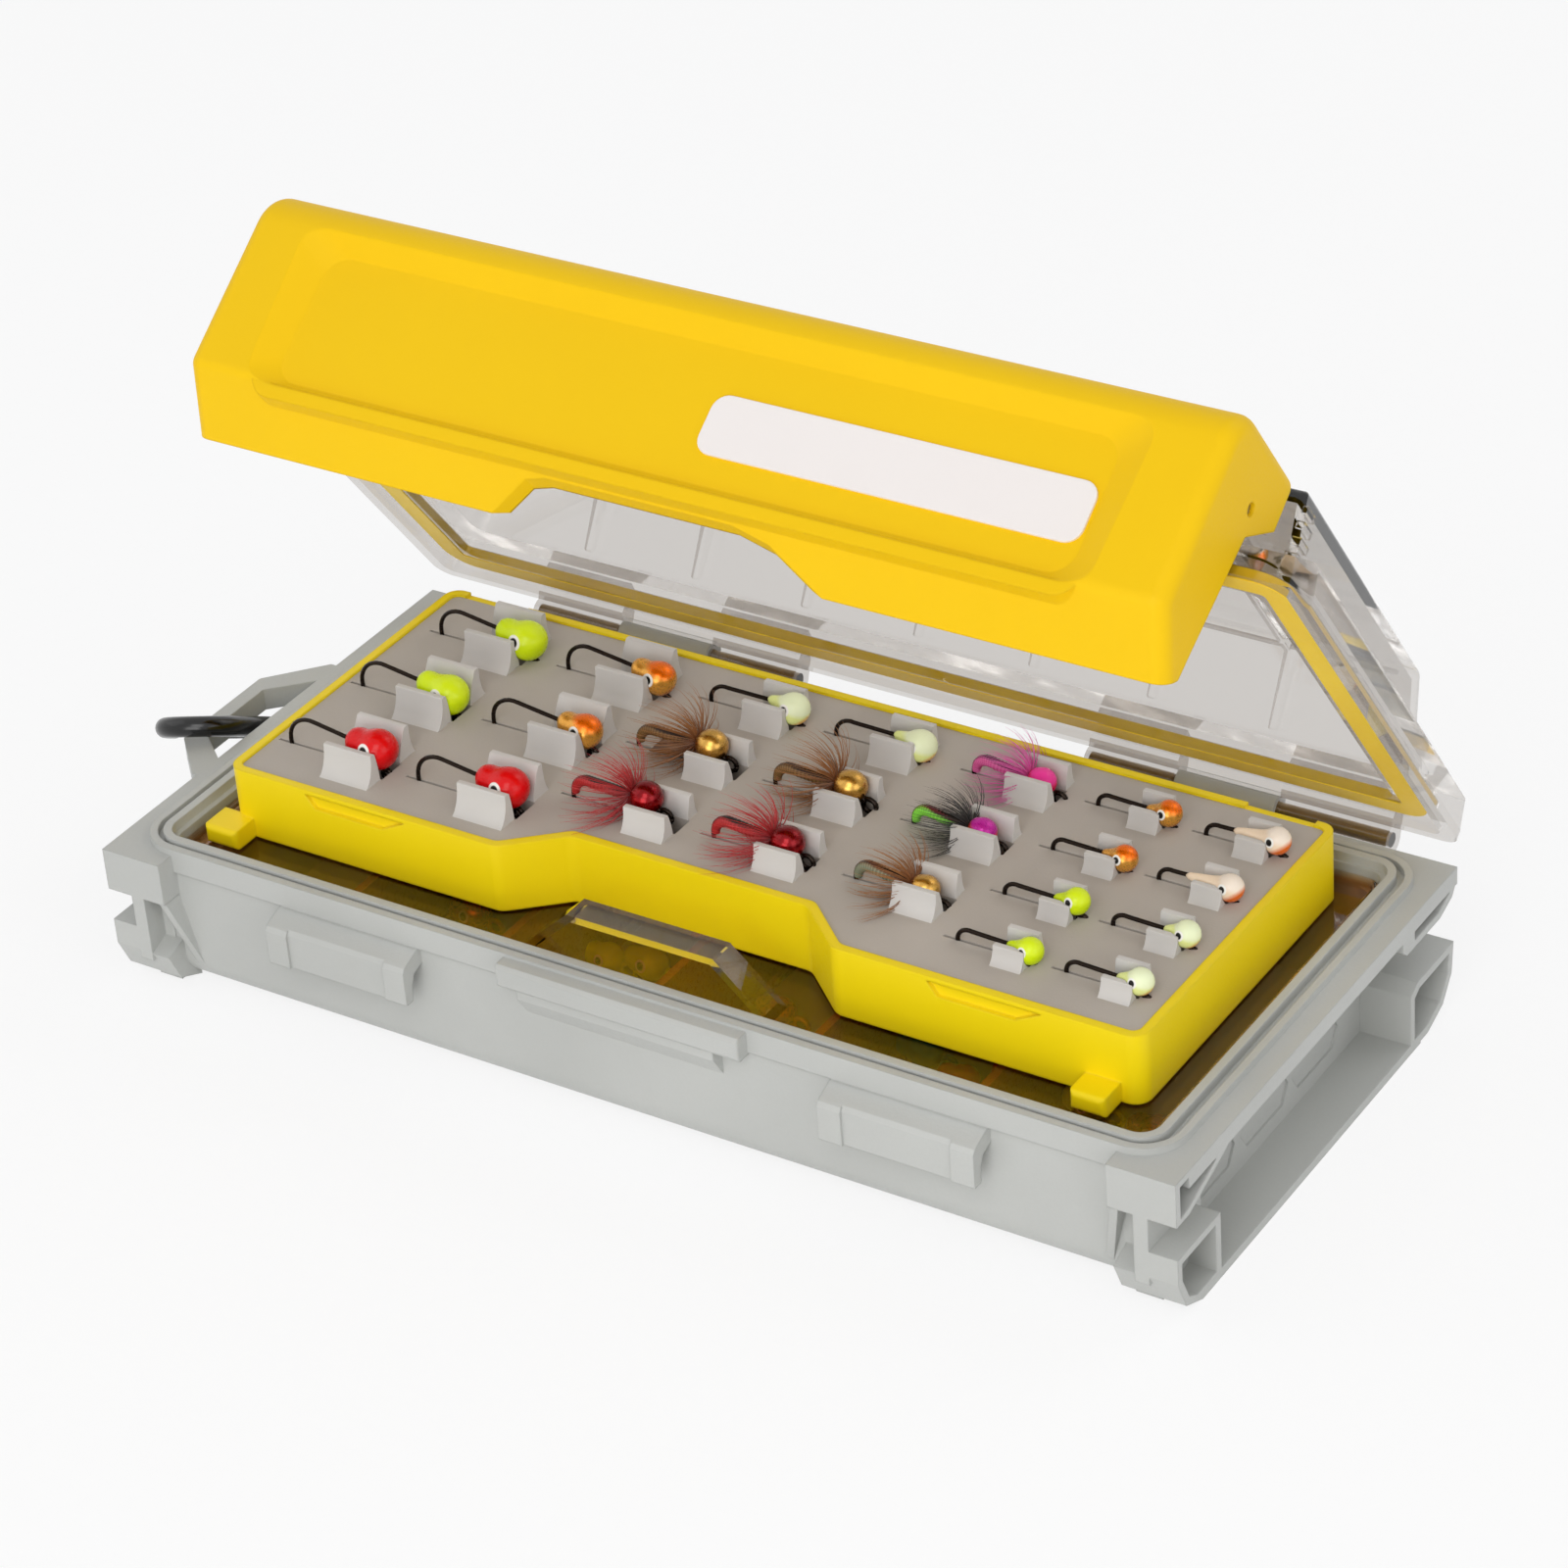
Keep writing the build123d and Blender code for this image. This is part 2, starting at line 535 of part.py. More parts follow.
def jig_hook(x, y, size):
    """One wire hook: a shank from the collar and a bend that dips into the slit."""
    radius, lift, reach, bend = SIZES[size][:4]
    start = x - radius * 2.1
    turn = x - reach + bend
    z = PAD_TOP + lift
    rise = z + bend * 0.35
    wire = Polyline((start, z), (turn, rise), (turn - bend * 0.74, rise - bend * 0.38),
                    (turn - bend, rise - bend * 1.1), (turn - bend + 0.3, PAD_TOP - 1.4))
    section = Plane(origin=(start, y, z), z_dir=(-1, 0, 0)) * RegularPolygon(WIRE_R, 4)
    return sweep(section, path=facing_front(wire, y), transition=Transition.RIGHT)


def jigs_of(colour):
    """All heads of one colour."""
    return [jig_head(x, y, size) for x, y, size, kind in JIGS if kind == colour]


def stored_jigs():
    """Loose heads that lie in the front of the bins, seen through the door."""
    spots = ((-70, -31, 3.0), (-44, -30.5, 2.8), (-20, -31, 3.2), (-9, -30, 2.8),
             (8, -31.5, 2.6), (37, -31, 3.0), (48, -30, 2.6), (65, -31, 2.8))
    heads = []
    for x, y, r in spots:
        ball = [(r * math.cos(a), r * math.sin(a)) for a in (2.7, 1.95, 1.1, 0.35)]
        heads.append(turned(ball, x, y, BIN_FLOOR + r))
    return heads


# The snap hook

def snap_plane():
    """The plane that the snap hook lies in, with Y along its length."""
    across = Vector(*SNAP_ACROSS).normalized()
    along = Vector(*SNAP_ALONG).normalized()
    return Plane(origin=LOOP_BAR, x_dir=across, z_dir=across.cross(along))


def snap_ring(grow):
    """The oval outline, with its near end round the loop's bar."""
    outline = SlotOverall(SNAP_LENGTH + grow, SNAP_WIDTH + grow, rotation=90)
    return Pos(SNAP_SHIFT, SNAP_MIDDLE) * outline


def through(sketch, half):
    """A sketch in the snap hook's plane, thickened to both sides."""
    return extrude(snap_plane() * sketch, amount=half, both=True)


def snap_body():
    """An oval bar, open on its outer side for the gate, with two ears for its pin."""
    body = through(snap_ring(0) - snap_ring(-2 * SNAP_BAR), SNAP_BAR / 2)
    gate_place = Pos(GATE_X, SNAP_MIDDLE)
    body -= through(gate_place * Rectangle(SNAP_BAR + 0.6, GATE_LENGTH - 2.6), SNAP_BAR)
    body -= through(gate_place * Rectangle(SNAP_BAR + 0.6, GATE_LENGTH + 0.6), 0.85)
    return body - through(Pos(GATE_X, GATE_PIN_Y) * Circle(GATE_PIN_R + 0.05), SNAP_BAR)


def snap_gate():
    """The sprung gate, thin at both ends where it sits between the ears."""
    gate_place = Pos(GATE_X, SNAP_MIDDLE)
    gate = through(gate_place * SlotOverall(GATE_LENGTH, 1.9, rotation=90), 0.7)
    gate += through(gate_place * Rectangle(2.4, GATE_LENGTH - 3.4), 1.4)
    return gate - through(Pos(GATE_X, GATE_PIN_Y) * Circle(GATE_PIN_R + 0.05), SNAP_BAR)


def gate_pin():
    """The pin that the gate turns on."""
    return through(Pos(GATE_X, GATE_PIN_Y) * Circle(GATE_PIN_R), SNAP_BAR / 2)


def build():
    """Build every piece and write it out."""
    save(base_tub(), "base_tub")
    save(bin_dividers(), "bin_dividers")
    names = ("hinge_pin_left", "hinge_pin_right")
    for name, (x0, x1) in zip(names, PIN_SPANS):
        save(cylinder_x(HINGE_Y, HINGE_Z, PIN_R, x0, x1), name)
    save(open_lid(lid_shell()), "lid_shell")
    save(open_lid(lid_gasket()), "lid_gasket")
    save(open_lid(latch_cover()), "latch_cover")
    save(open_lid(label_strip()), "label_strip")
    save(open_lid(latch_pin(-82.6, -76.8)), "latch_pin_left")
    save(open_lid(latch_pin(76.8, 82.6)), "latch_pin_right")
    save(inner_door(), "inner_door")
    save(tray_frame(), "tray_frame")
    save(tray_pad(), "tray_pad")
    for kind in ("chartreuse", "red", "orange", "glow", "brass", "ruby", "white"):
        save(jigs_of(kind), f"jig_heads_{kind}")
    save([jig_hook(x, y, size) for x, y, size, kind in JIGS], "jig_hooks")
    save(stored_jigs(), "stored_jigs")
    save(snap_body(), "snap_body")
    save(snap_gate(), "snap_gate")
    save(gate_pin(), "gate_pin")


build()
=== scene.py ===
import math
from collections import namedtuple

import bmesh
import bpy
from mathutils import Matrix, Vector


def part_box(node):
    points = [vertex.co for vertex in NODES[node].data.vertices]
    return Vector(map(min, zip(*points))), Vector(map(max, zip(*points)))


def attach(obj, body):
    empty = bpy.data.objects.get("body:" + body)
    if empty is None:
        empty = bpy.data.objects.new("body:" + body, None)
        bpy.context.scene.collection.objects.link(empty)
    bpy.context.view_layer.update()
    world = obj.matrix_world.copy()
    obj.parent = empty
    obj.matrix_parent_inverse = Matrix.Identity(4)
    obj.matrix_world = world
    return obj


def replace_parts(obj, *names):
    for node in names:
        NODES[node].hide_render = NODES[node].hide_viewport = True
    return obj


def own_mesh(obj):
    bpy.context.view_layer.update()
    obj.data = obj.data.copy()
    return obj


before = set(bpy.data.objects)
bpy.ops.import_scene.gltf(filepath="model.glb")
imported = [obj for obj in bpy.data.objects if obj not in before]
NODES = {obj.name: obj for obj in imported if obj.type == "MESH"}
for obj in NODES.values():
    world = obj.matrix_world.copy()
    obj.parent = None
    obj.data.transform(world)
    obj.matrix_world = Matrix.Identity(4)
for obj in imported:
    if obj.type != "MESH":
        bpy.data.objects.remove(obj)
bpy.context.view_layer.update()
MM = 0.001

# The pad's top, its narrow slits and how far they run past a hook's leg
PAD_TOP = 34.2
SLIT_WIDTH = 0.5
SLIT_DEPTH = 8.0
SLIT_PAST_LEG = 2.4

# The well between two lips: half its width at most, over the ball's radius, its gap
# beside them, how far it runs past their end, and how far its cutter stands over the pad
WELL_SHARE = 0.8
WELL_GAP = 0.05
WELL_PAST_LIPS = 0.3
CUTTER_OVER = 2

# The lips: thickness of the crest, depth of the root in the pad, the bow of the upright
# side, the crest's chamfers inside and outside and the share of the height where they
# start, the ramp's sag for each of its steps, the width of the rounded edges, their gap
# to a head, and steps along a lip, up its upright side and down its ramp
LIP_THICK = 1.0
LIP_ROOT = 1.2
LIP_BOW = 1.6
CREST_INSIDE = 0.12
CREST_OUTSIDE = 0.1
CREST_START = 0.985
RAMP_SAG = 0.02
LIP_EDGE = 0.22
HEAD_GAP = 0.1
LIP_STEPS = 10
UPRIGHT_STEPS = 5
RAMP_STEPS = 10

# The finger bay in the pad's front: its depth, and half its width in front and behind;
# then the pad's corner radii, from the left rear one round by the front
BAY_DEPTH = 7.7
BAY_FRONT = 30.6
BAY_BACK = 21.6
PAD_CORNERS = (1.3, 1.3, 2.2, 3.4, 3.4, 2.2, 1.3, 1.3)

# The hook wire's radius, where its shank starts behind the ball's middle, over the ball's
# radius, the steps of its bend in degrees, and its leg's depth in the pad
WIRE_R = 0.36
SHANK_START = 0.6
BEND_STEP = 11.25
LEG_DEPTH = 1.5

# A jig size: the ball's radius, the reach back to the hook's leg, the bend's radius and
# top, the collar's length, the height of its end, the length of the lips, and for the
# front and the rear lip how far its foot and its crest stand out, and its height
Size = namedtuple("Size", "ball reach bend top collar neck lip front rear")
SIZES = {
    "large": Size(3.28, 17.4, 4.3, 5.2, 5.7, 4.1, 9.1, (7.0, 3.3, 5.0), (7.1, 4.6, 5.4)),
    "plated": Size(2.8, 17.8, 4.3, 5.2, 5.3, 4.1, 9.1, (7.0, 3.3, 5.0), (7.1, 4.6, 5.4)),
    "middle": Size(2.6, 15.7, 3.0, 3.3, 3.8, 3.2, 7.5, (6.0, 2.6, 4.2), (4.9, 3.0, 4.2)),
    "fly": Size(2.65, 13.4, 3.2, 4.0, 1.6, 3.3, 7.5, (6.0, 3.0, 3.9), (4.9, 3.0, 3.8)),
    "nymph": Size(2.25, 12.2, 3.0, 3.4, 1.4, 2.4, 7.5, (6.0, 2.6, 3.9), (4.9, 2.8, 3.8)),
    "small": Size(2.1, 12.3, 2.1, 2.2, 3.8, 2.0, 5.1, (4.4, 1.5, 2.8), (4.0, 2.0, 3.3)),
    "tapered": Size(2.15, 12.0, 2.1, 2.2, 7.2, 2.2, 5.1, (4.4, 1.5, 2.8), (4.0, 2.0, 3.3))}

# X of the right-hand end of the lips in each column
LIP_ENDS = (-57.4, -32.0, -7.8, 15.6, 39.5, 57.6, 75.4)

# Jigs in the pad: column, Y of the slit, the ball's X, Y and height over the pad,
# size and finish
Jig = namedtuple("Jig", "column slit x y lift size finish")
JIGS = (
    Jig(0, 20.3, -57.2, 20.3, 3.3, "large", "chartreuse"),
    Jig(0, 1.5, -59.3, 1.5, 2.9, "large", "chartreuse"),
    Jig(0, -17.5, -59.2, -17.6, 3.6, "large", "red"),
    Jig(1, 20.3, -31.8, 20.2, 3.0, "plated", "copper"),
    Jig(1, 1.5, -33.2, 1.5, 3.3, "plated", "copper"),
    Jig(1, -17.5, -34.5, -17.4, 3.4, "large", "red"),
    Jig(2, 22.2, -7.9, 22.2, 2.75, "middle", "glow"),
    Jig(2, 6.1, -13.2, 6.8, 3.2, "fly", "gold"),
    Jig(2, -10.7, -14.0, -10.2, 3.3, "fly", "ruby"),
    Jig(3, 22.2, 15.3, 21.9, 2.5, "middle", "glow"),
    Jig(3, 6.1, 12.0, 6.7, 2.9, "fly", "gold"),
    Jig(3, -10.7, 11.6, -10.6, 2.8, "fly", "ruby"),
    Jig(4, 22.2, 36.6, 22.0, 1.9, "nymph", "pink"),
    Jig(4, 6.1, 35.5, 6.0, 1.9, "nymph", "violet"),
    Jig(4, -10.7, 35.6, -10.8, 1.7, "nymph", "gold"),
    Jig(5, 22.7, 58.1, 22.5, 2.1, "small", "copper"),
    Jig(5, 9.1, 58.0, 9.0, 2.0, "small", "copper"),
    Jig(5, -4.4, 57.5, -4.5, 2.4, "small", "chartreuse"),
    Jig(5, -17.8, 57.4, -18.0, 1.9, "small", "chartreuse"),
    Jig(6, 22.7, 76.2, 22.6, 2.4, "tapered", "white"),
    Jig(6, 9.1, 75.6, 8.9, 2.1, "tapered", "white"),
    Jig(6, -4.4, 75.7, -4.5, 2.2, "small", "glow"),
    Jig(6, -17.8, 75.5, -18.1, 2.3, "small", "glow"))

# Finishes whose CAD heads go by another name
STANDS_FOR = {"copper": "orange", "gold": "brass", "pink": "ruby", "violet": "ruby"}

# Dressed jigs: number in the list, hackle colour, colours of the wound body
DRESSINGS = ((7, "brown", "bronze"), (8, "scarlet", "crimson"), (10, "brown", "bronze"),
             (11, "scarlet", "crimson"), (12, "rose", "rose"), (13, "black", "lime"),
             (14, "brown", "olive"))

# Loose jigs in the bins: the tilt of their collars, their ring eyes (out from the head,
# up from the bin's floor, radius and wire), and X, Y, radius and finish of each, in the
# front of the bins and further back, where the eye sees them through the door
BIN_FLOOR = 2.0
STORED_TILT = 0.1
STORED_EYE = (1.0, 1.4, 1.3, 0.45)
STORED_FRONT = (
    (-70, -31, 3.0, "copper"), (-44, -30.5, 2.8, "chartreuse"), (-20, -31, 3.2, "copper"),
    (-9, -30, 2.8, "chartreuse"), (8, -31.5, 2.6, "glow"), (37, -31, 3.0, "blue"),
    (48, -30, 2.6, "red"), (65, -31, 2.8, "copper"))
STORED_BACK = (
    (-50.0, -10.1, 2.8, "copper"), (-24.0, -10.6, 2.6, "chartreuse"),
    (-17.0, -9.0, 2.8, "chartreuse"), (8.0, -11.0, 2.6, "copper"), (33.0, -9.5, 3.0, "blue"),
    (42.0, -13.5, 2.6, "red"), (49.5, -9.3, 2.8, "red"), (62.0, -10.0, 2.8, "chartreuse"),
    (74.0, -12.0, 2.8, "copper"))

# The lid's hinge axis and how far it stands open
LID_OPEN = 54.1
HINGE = Vector((0, 47.4, 24.0))

# The dish in the latch's face, in the shut lid: Y of the face, the cutter's mouth and the
# dish's floor, where its ends and edges meet the face, and their slope for a millimetre
# of depth
DISH_FACE = -57.2
DISH_MOUTH = -59.2
DISH_FLOOR = -54.7
DISH_ENDS = (-73.5, 72.5)
DISH_END_SLOPE = 2.1
DISH_LOW, DISH_LOW_SLOPE = 12.8, 0.9
DISH_TOP, DISH_TOP_SLOPE = 40.0, 1.4
DISH_CORNER = 4.0

# An edge on the latch that turns by more degrees than this is a crease
LATCH_CREASE = 19

# The blank strip on the dish's floor: its ends, edges and corners, how proud it stands,
# how far it is let in, the width of its rounded edge and its crease in degrees
STRIP_ENDS = (4.2, 66.8)
STRIP_EDGES = (19.8, 29.4)
STRIP_CORNER = 2.6
STRIP_PROUD = 0.45
STRIP_LET_IN = 0.1
STRIP_EDGE = 0.12
STRIP_CREASE = 28


# Colours and nodes

def colour(code):
    """A linear colour, from an sRGB hex value."""
    parts = [int(code[i:i + 2], 16) / 255 for i in (0, 2, 4)]
    linear = [p / 12.92 if p <= 0.04045 else ((p + 0.055) / 1.055) ** 2.4 for p in parts]
    return (*linear, 1.0)


def add(tree, kind, settings=None, inputs=None):
    """Add one node, with its settings, and with its inputs as values or links."""
    node = tree.nodes.new(kind)
    for name, value in (settings or {}).items():
        setattr(node, name, value)
    for name, value in (inputs or {}).items():
        socket = node.inputs[name]
        if isinstance(value, bpy.types.NodeSocket):
            tree.links.new(value, socket)
        else:
            socket.default_value = value
    return node


def blank_material(name):
    """A material with no nodes in it yet."""
    material = bpy.data.materials.new(name)
    material.use_nodes = True
    material.node_tree.nodes.clear()
    return material, material.node_tree


def blend_colours(tree, share, first, second):
    """The colour between two others, by a share from 0 to 1."""
    mix = add(tree, "ShaderNodeMix", {"data_type": "RGBA"}, {0: share, 6: first, 7: second})
    return mix.outputs[2]


def between(tree, value, low, high, to_low=0.0, to_high=1.0):
    """A value moved from one range to another, with its ends held."""
    node = add(tree, "ShaderNodeMapRange", inputs={
        "Value": value, "From Min": low, "From Max": high, "To Min": to_low, "To Max": to_high})
    return node.outputs["Result"]


def noise(tree, place, size_mm, detail=2.0):
    """Soft noise whose blotches are about so many millimetres across."""
    node = add(tree, "ShaderNodeTexNoise", inputs={
        "Vector": place, "Scale": 1 / (size_mm * MM), "Detail": detail})
    return node.outputs["Fac"]


def finish_surface(tree, inputs):
    """The plain end of a material: one surface shader and the output."""
    surface = add(tree, "ShaderNodeBsdfPrincipled", inputs=inputs)
    add(tree, "ShaderNodeOutputMaterial", inputs={"Surface": surface.outputs[0]})


# Materials

def moulded(name, light, dark, roughness, grain_mm, depth_mm, edge_mm, clouds_mm=45.0,
            gloss=0.5):
    """Injection moulded plastic: fine eroded grain, faint flow clouds and soft edges."""
    material, tree = blank_material(name)
    place = add(tree, "ShaderNodeTexCoord").outputs["Object"]
    clouds = noise(tree, place, clouds_mm, 3.0)
    grain = noise(tree, place, grain_mm)
    body = blend_colours(tree, between(tree, clouds, 0.3, 0.7), colour(dark), colour(light))
    speck = between(tree, grain, 0.35, 0.65, 0.0, 0.10)
    body = blend_colours(tree, speck, body, colour(dark))
    edge = add(tree, "ShaderNodeBevel", {"samples": 4}, {"Radius": edge_mm * MM})
    bump = add(tree, "ShaderNodeBump", inputs={
        "Strength": 0.5, "Distance": depth_mm * MM, "Height": grain, "Normal": edge.outputs[0]})
    finish_surface(tree, {
        "Base Color": body, "Specular IOR Level": gloss, "Normal": bump.outputs[0],
        "Roughness": between(tree, grain, 0.3, 0.7, roughness - 0.06, roughness + 0.06)})
    return material


def clear_plastic(name, tint, shadow, smear, bend, upper=None, level=0.0):
    """Polished clear polycarbonate: sharp gloss, faint smears, and lamps that pass through."""
    material, tree = blank_material(name)
    place = add(tree, "ShaderNodeTexCoord").outputs["Object"]
    smears = noise(tree, place, 14.0, 4.0)
    ripple = noise(tree, place, 30.0)
    bump = add(tree, "ShaderNodeBump", inputs={
        "Strength": 0.12, "Distance": 0.4 * MM, "Height": ripple})
    height = add(tree, "ShaderNodeSeparateXYZ", inputs={0: place}).outputs["Z"]
    share = between(tree, height, level * MM, (level + 0.8) * MM)
    body = blend_colours(tree, share, colour(tint), colour(upper or tint))
    surface = add(tree, "ShaderNodeBsdfPrincipled", inputs={
        "Base Color": body, "Transmission Weight": 1.0, "IOR": bend,
        "Coat Weight": 1.0, "Coat IOR": 1.5, "Coat Roughness": 0.02,
        "Roughness": between(tree, smears, 0.45, 0.75, 0.015, smear), "Normal": bump.outputs[0]})
    film = add(tree, "ShaderNodeBsdfTransparent", inputs={"Color": colour(shadow)})
    path = add(tree, "ShaderNodeLightPath")
    mix = add(tree, "ShaderNodeMixShader", inputs={
        0: path.outputs["Is Shadow Ray"], 1: surface.outputs[0], 2: film.outputs[0]})
    add(tree, "ShaderNodeOutputMaterial", inputs={"Surface": mix.outputs[0]})
    return material


def soft_rubber(name, light, dark, roughness, grain_mm):
    """Soft moulded rubber: dull, with a velvety pebble and slow shade changes."""
    material, tree = blank_material(name)
    place = add(tree, "ShaderNodeTexCoord").outputs["Object"]
    pebble = noise(tree, place, grain_mm, 1.0)
    shade = noise(tree, place, 22.0, 2.0)
    body = blend_colours(tree, between(tree, shade, 0.3, 0.7), colour(dark), colour(light))
    bump = add(tree, "ShaderNodeBump", inputs={
        "Strength": 0.35, "Distance": 0.06 * MM, "Height": pebble})
    finish_surface(tree, {
        "Base Color": body, "Normal": bump.outputs[0],
        "Roughness": between(tree, pebble, 0.3, 0.7, roughness, roughness + 0.1),
        "Sheen Weight": 0.12, "Sheen Roughness": 0.5})
    return material


def drawn_metal(name, code, metallic, roughness, scratch_mm):
    """Drawn or plated metal: fine scratches that run along X."""
    material, tree = blank_material(name)
    place = add(tree, "ShaderNodeTexCoord").outputs["Object"]
    stretched = add(tree, "ShaderNodeMapping", inputs={"Vector": place, "Scale": (0.06, 1.0, 1.0)})
    lines = noise(tree, stretched.outputs[0], scratch_mm, 3.0)
    dark = tuple(c * 0.6 for c in colour(code)[:3]) + (1.0,)
    body = blend_colours(tree, between(tree, lines, 0.3, 0.7, 0.4, 1.0), dark, colour(code))
    finish_surface(tree, {
        "Base Color": body, "Metallic": metallic,
        "Roughness": between(tree, lines, 0.3, 0.7, roughness, roughness + 0.15)})
    return material


def round_spot(tree, place, centre, radius):
    """1 inside a round spot on a ball, with a crisp painted rim, and 0 outside."""
    gap = add(tree, "ShaderNodeVectorMath", {"operation": "DISTANCE"}, {0: place, 1: centre})
    return between(tree, gap.outputs["Value"], radius, radius + 0.05, 1.0, 0.0)


def larger(tree, first, second):
    """The larger of two values."""
    return add(tree, "ShaderNodeMath", {"operation": "MAXIMUM"}, {0: first, 1: second}).outputs[0]


# Over a ball's radius: the painted eye's place, and the radii of its white and its black;
# then how far the cap leans forward, and how ragged its edge is
EYE_AT = (-0.21, 0.93, 0.30)
EYE_WHITE = 0.37
EYE_BLACK = 0.22
CAP_LEAN = 0.4
CAP_RAGGED = 0.07


def painted_ball(name, body, cap, tip, metallic, eyes, cap_from=0.3, tip_from=0.25):
    """A jig head: a base coat, a cap on top, a second tone at the nose, and eyes. The cap is a
    sprayed coat on the two-tone finishes and painted light on the one-colour ones; the nose is a
    second paint on some and painted shade on others.

    The coats follow the head's own "ball" attribute: its place over its radius.
    """
    material, tree = blank_material(name)
    place = add(tree, "ShaderNodeAttribute", {"attribute_name": "ball"}).outputs["Vector"]
    axes = add(tree, "ShaderNodeSeparateXYZ", inputs={0: place})
    spray = add(tree, "ShaderNodeTexNoise", inputs={"Vector": place, "Scale": 6.0, "Detail": 3.0})
    height = add(tree, "ShaderNodeMath", {"operation": "MULTIPLY_ADD"},
                 {0: axes.outputs["X"], 1: CAP_LEAN, 2: axes.outputs["Z"]}).outputs[0]
    ragged = add(tree, "ShaderNodeMath", {"operation": "MULTIPLY_ADD"},
                 {0: spray.outputs["Fac"], 1: CAP_RAGGED, 2: height}).outputs[0]
    paint = blend_colours(tree, between(tree, ragged, cap_from, cap_from + 0.3),
                          colour(body), colour(cap))
    nose = add(tree, "ShaderNodeMath", {"operation": "SUBTRACT"},
               {0: axes.outputs["X"], 1: ragged}).outputs[0]
    paint = blend_colours(tree, between(tree, nose, tip_from, tip_from + 0.45),
                          paint, colour(tip))
    shine = {"Metallic": metallic}
    if eyes:
        along, across, up = EYE_AT
        spots = [(along, -across, up), (along, across, up)]
        white = larger(tree, *[round_spot(tree, place, spot, EYE_WHITE) for spot in spots])
        black = larger(tree, *[round_spot(tree, place, spot, EYE_BLACK) for spot in spots])
        paint = blend_colours(tree, white, paint, colour("F4F2EC"))
        paint = blend_colours(tree, black, paint, colour("15130F"))
        if metallic > 0:
            shine["Metallic"] = between(tree, white, 0.0, 1.0, metallic, 0.0)
    finish_surface(tree, {
        "Base Color": paint, "Coat Weight": 0.3, "Coat Roughness": 0.02,
        "Specular IOR Level": 0.1,
        "Roughness": between(tree, spray.outputs["Fac"], 0.3, 0.7, 0.26, 0.3), **shine})
    return material


def fibre(name, root, tip):
    """Feather barbs: dull at the root, lighter and thinner looking at the tip."""
    material, tree = blank_material(name)
    along = add(tree, "ShaderNodeAttribute", {"attribute_name": "along"}).outputs["Fac"]
    place = add(tree, "ShaderNodeTexCoord").outputs["Object"]
    streak = noise(tree, place, 0.8)
    share = add(tree, "ShaderNodeMath", {"operation": "MULTIPLY_ADD", "use_clamp": True},
                {0: streak, 1: 0.4, 2: along}).outputs[0]
    body = blend_colours(tree, share, colour(root), colour(tip))
    finish_surface(tree, {"Base Color": body, "Roughness": 0.55, "Sheen Weight": 0.2})
    return material


def wound_thread(name, back, belly, rib):
    """A thread-wound body: one tone on the back, another below, and thin bright ribs."""
    material, tree = blank_material(name)
    place = add(tree, "ShaderNodeAttribute", {"attribute_name": "wind"}).outputs["Vector"]
    axes = add(tree, "ShaderNodeSeparateXYZ", inputs={0: place})
    fuzz = noise(tree, add(tree, "ShaderNodeTexCoord").outputs["Object"], 0.5)
    winding = between(tree, axes.outputs["Y"], 0.4, 1.0, 0.0, 0.55)
    body = blend_colours(tree, winding, colour(belly), colour(rib))
    body = blend_colours(tree, between(tree, axes.outputs["Z"], 0.5, 0.75), body, colour(back))
    bump = add(tree, "ShaderNodeBump", inputs={
        "Strength": 0.6, "Distance": 0.15 * MM, "Height": fuzz})
    finish_surface(tree, {
        "Base Color": body, "Roughness": between(tree, fuzz, 0.3, 0.7, 0.35, 0.6),
        "Normal": bump.outputs[0]})
    return material


MATERIALS = {
    # Filled polypropylene, fine spark grain: the flat cool gray of a tool case
    "tub": moulded("gray_moulded_polypropylene", "BEBFBB", "B2B3AF", 0.46, 0.5, 0.05, 0.35),
    # Satin ABS: deep warm yellow with a soft highlight on its long folds
    "latch": moulded("yellow_satin_abs", "F3C60A", "F0C208", 0.5, 0.4, 0.02, 0.5, 60.0, 0.16),
    # The tray's ABS is a little greener and glossier than the latch
    "tray": moulded("yellow_gloss_abs", "F8DC0A", "F4D608", 0.38, 0.4, 0.01, 0.5, 60.0, 0.3),
    # Divider styrene: the thin walls between the bins, painted dark brown as painted shade for the
    # dim bins
    "divider": moulded("divider_styrene_painted_shade", "9A6A3A", "7A4E28", 0.30, 0.6, 0.02, 0.2),
    # Clear lid: a thin gray cast, with little bending, so that its ribs stay light
    "lid": clear_plastic("clear_polycarbonate_lid", "D1CDC9", "E6E6E4", 0.06, 1.06),
    # The inner door is warmer and darker over the bins, and clear in its rim and pull
    "door": clear_plastic("clear_door_styrene", "DDB282", "E4C8A0", 0.04, 1.12,
                          "F4EFE0", 22.4),
    # Silicone seal: an even yellow line round the lid
    "seal": soft_rubber("yellow_silicone_seal", "F8D428", "F0C81C", 0.42, 0.9),
    # Slit pad: dull warm gray rubber with a fine pebble
    "pad": soft_rubber("warm_gray_pad_rubber", "B9B1A8", "B0A89F", 0.62, 0.45),
    # The lips' skin is smoother than the pad's top, and painted paler: painted light on their
    # upright faces
    "lip": soft_rubber("lip_rubber_painted_lighter", "CFCCC8", "C8C4C0", 0.5, 0.6),
    # Writing strip: a white matt film with a trace of paper tooth
    "label": moulded("white_matt_film", "EFE9E6", "EBE4E0", 0.55, 0.25, 0.01, 0.2),
    # Bright drawn steel of the latch and gate pins
    "steel": drawn_metal("drawn_steel_pin", "B9BABB", 1.0, 0.22, 0.4),
    # The long hinge pins are steel painted brown: a painted reflection of the yellow parts, and
    # painted shade inside the lid's knuckles
    "bronze": drawn_metal("hinge_pin_painted_reflection", "9A7F55", 0.5, 0.35, 0.4),
    # Black nickel hook wire: a hard thin glint on near black
    "wire": drawn_metal("black_nickel_wire", "2A211B", 0.85, 0.2, 0.3),
    # Black enamel of the snap hook
    "enamel": drawn_metal("black_baked_enamel", "0B0B0C", 0.0, 0.12, 1.5),
}

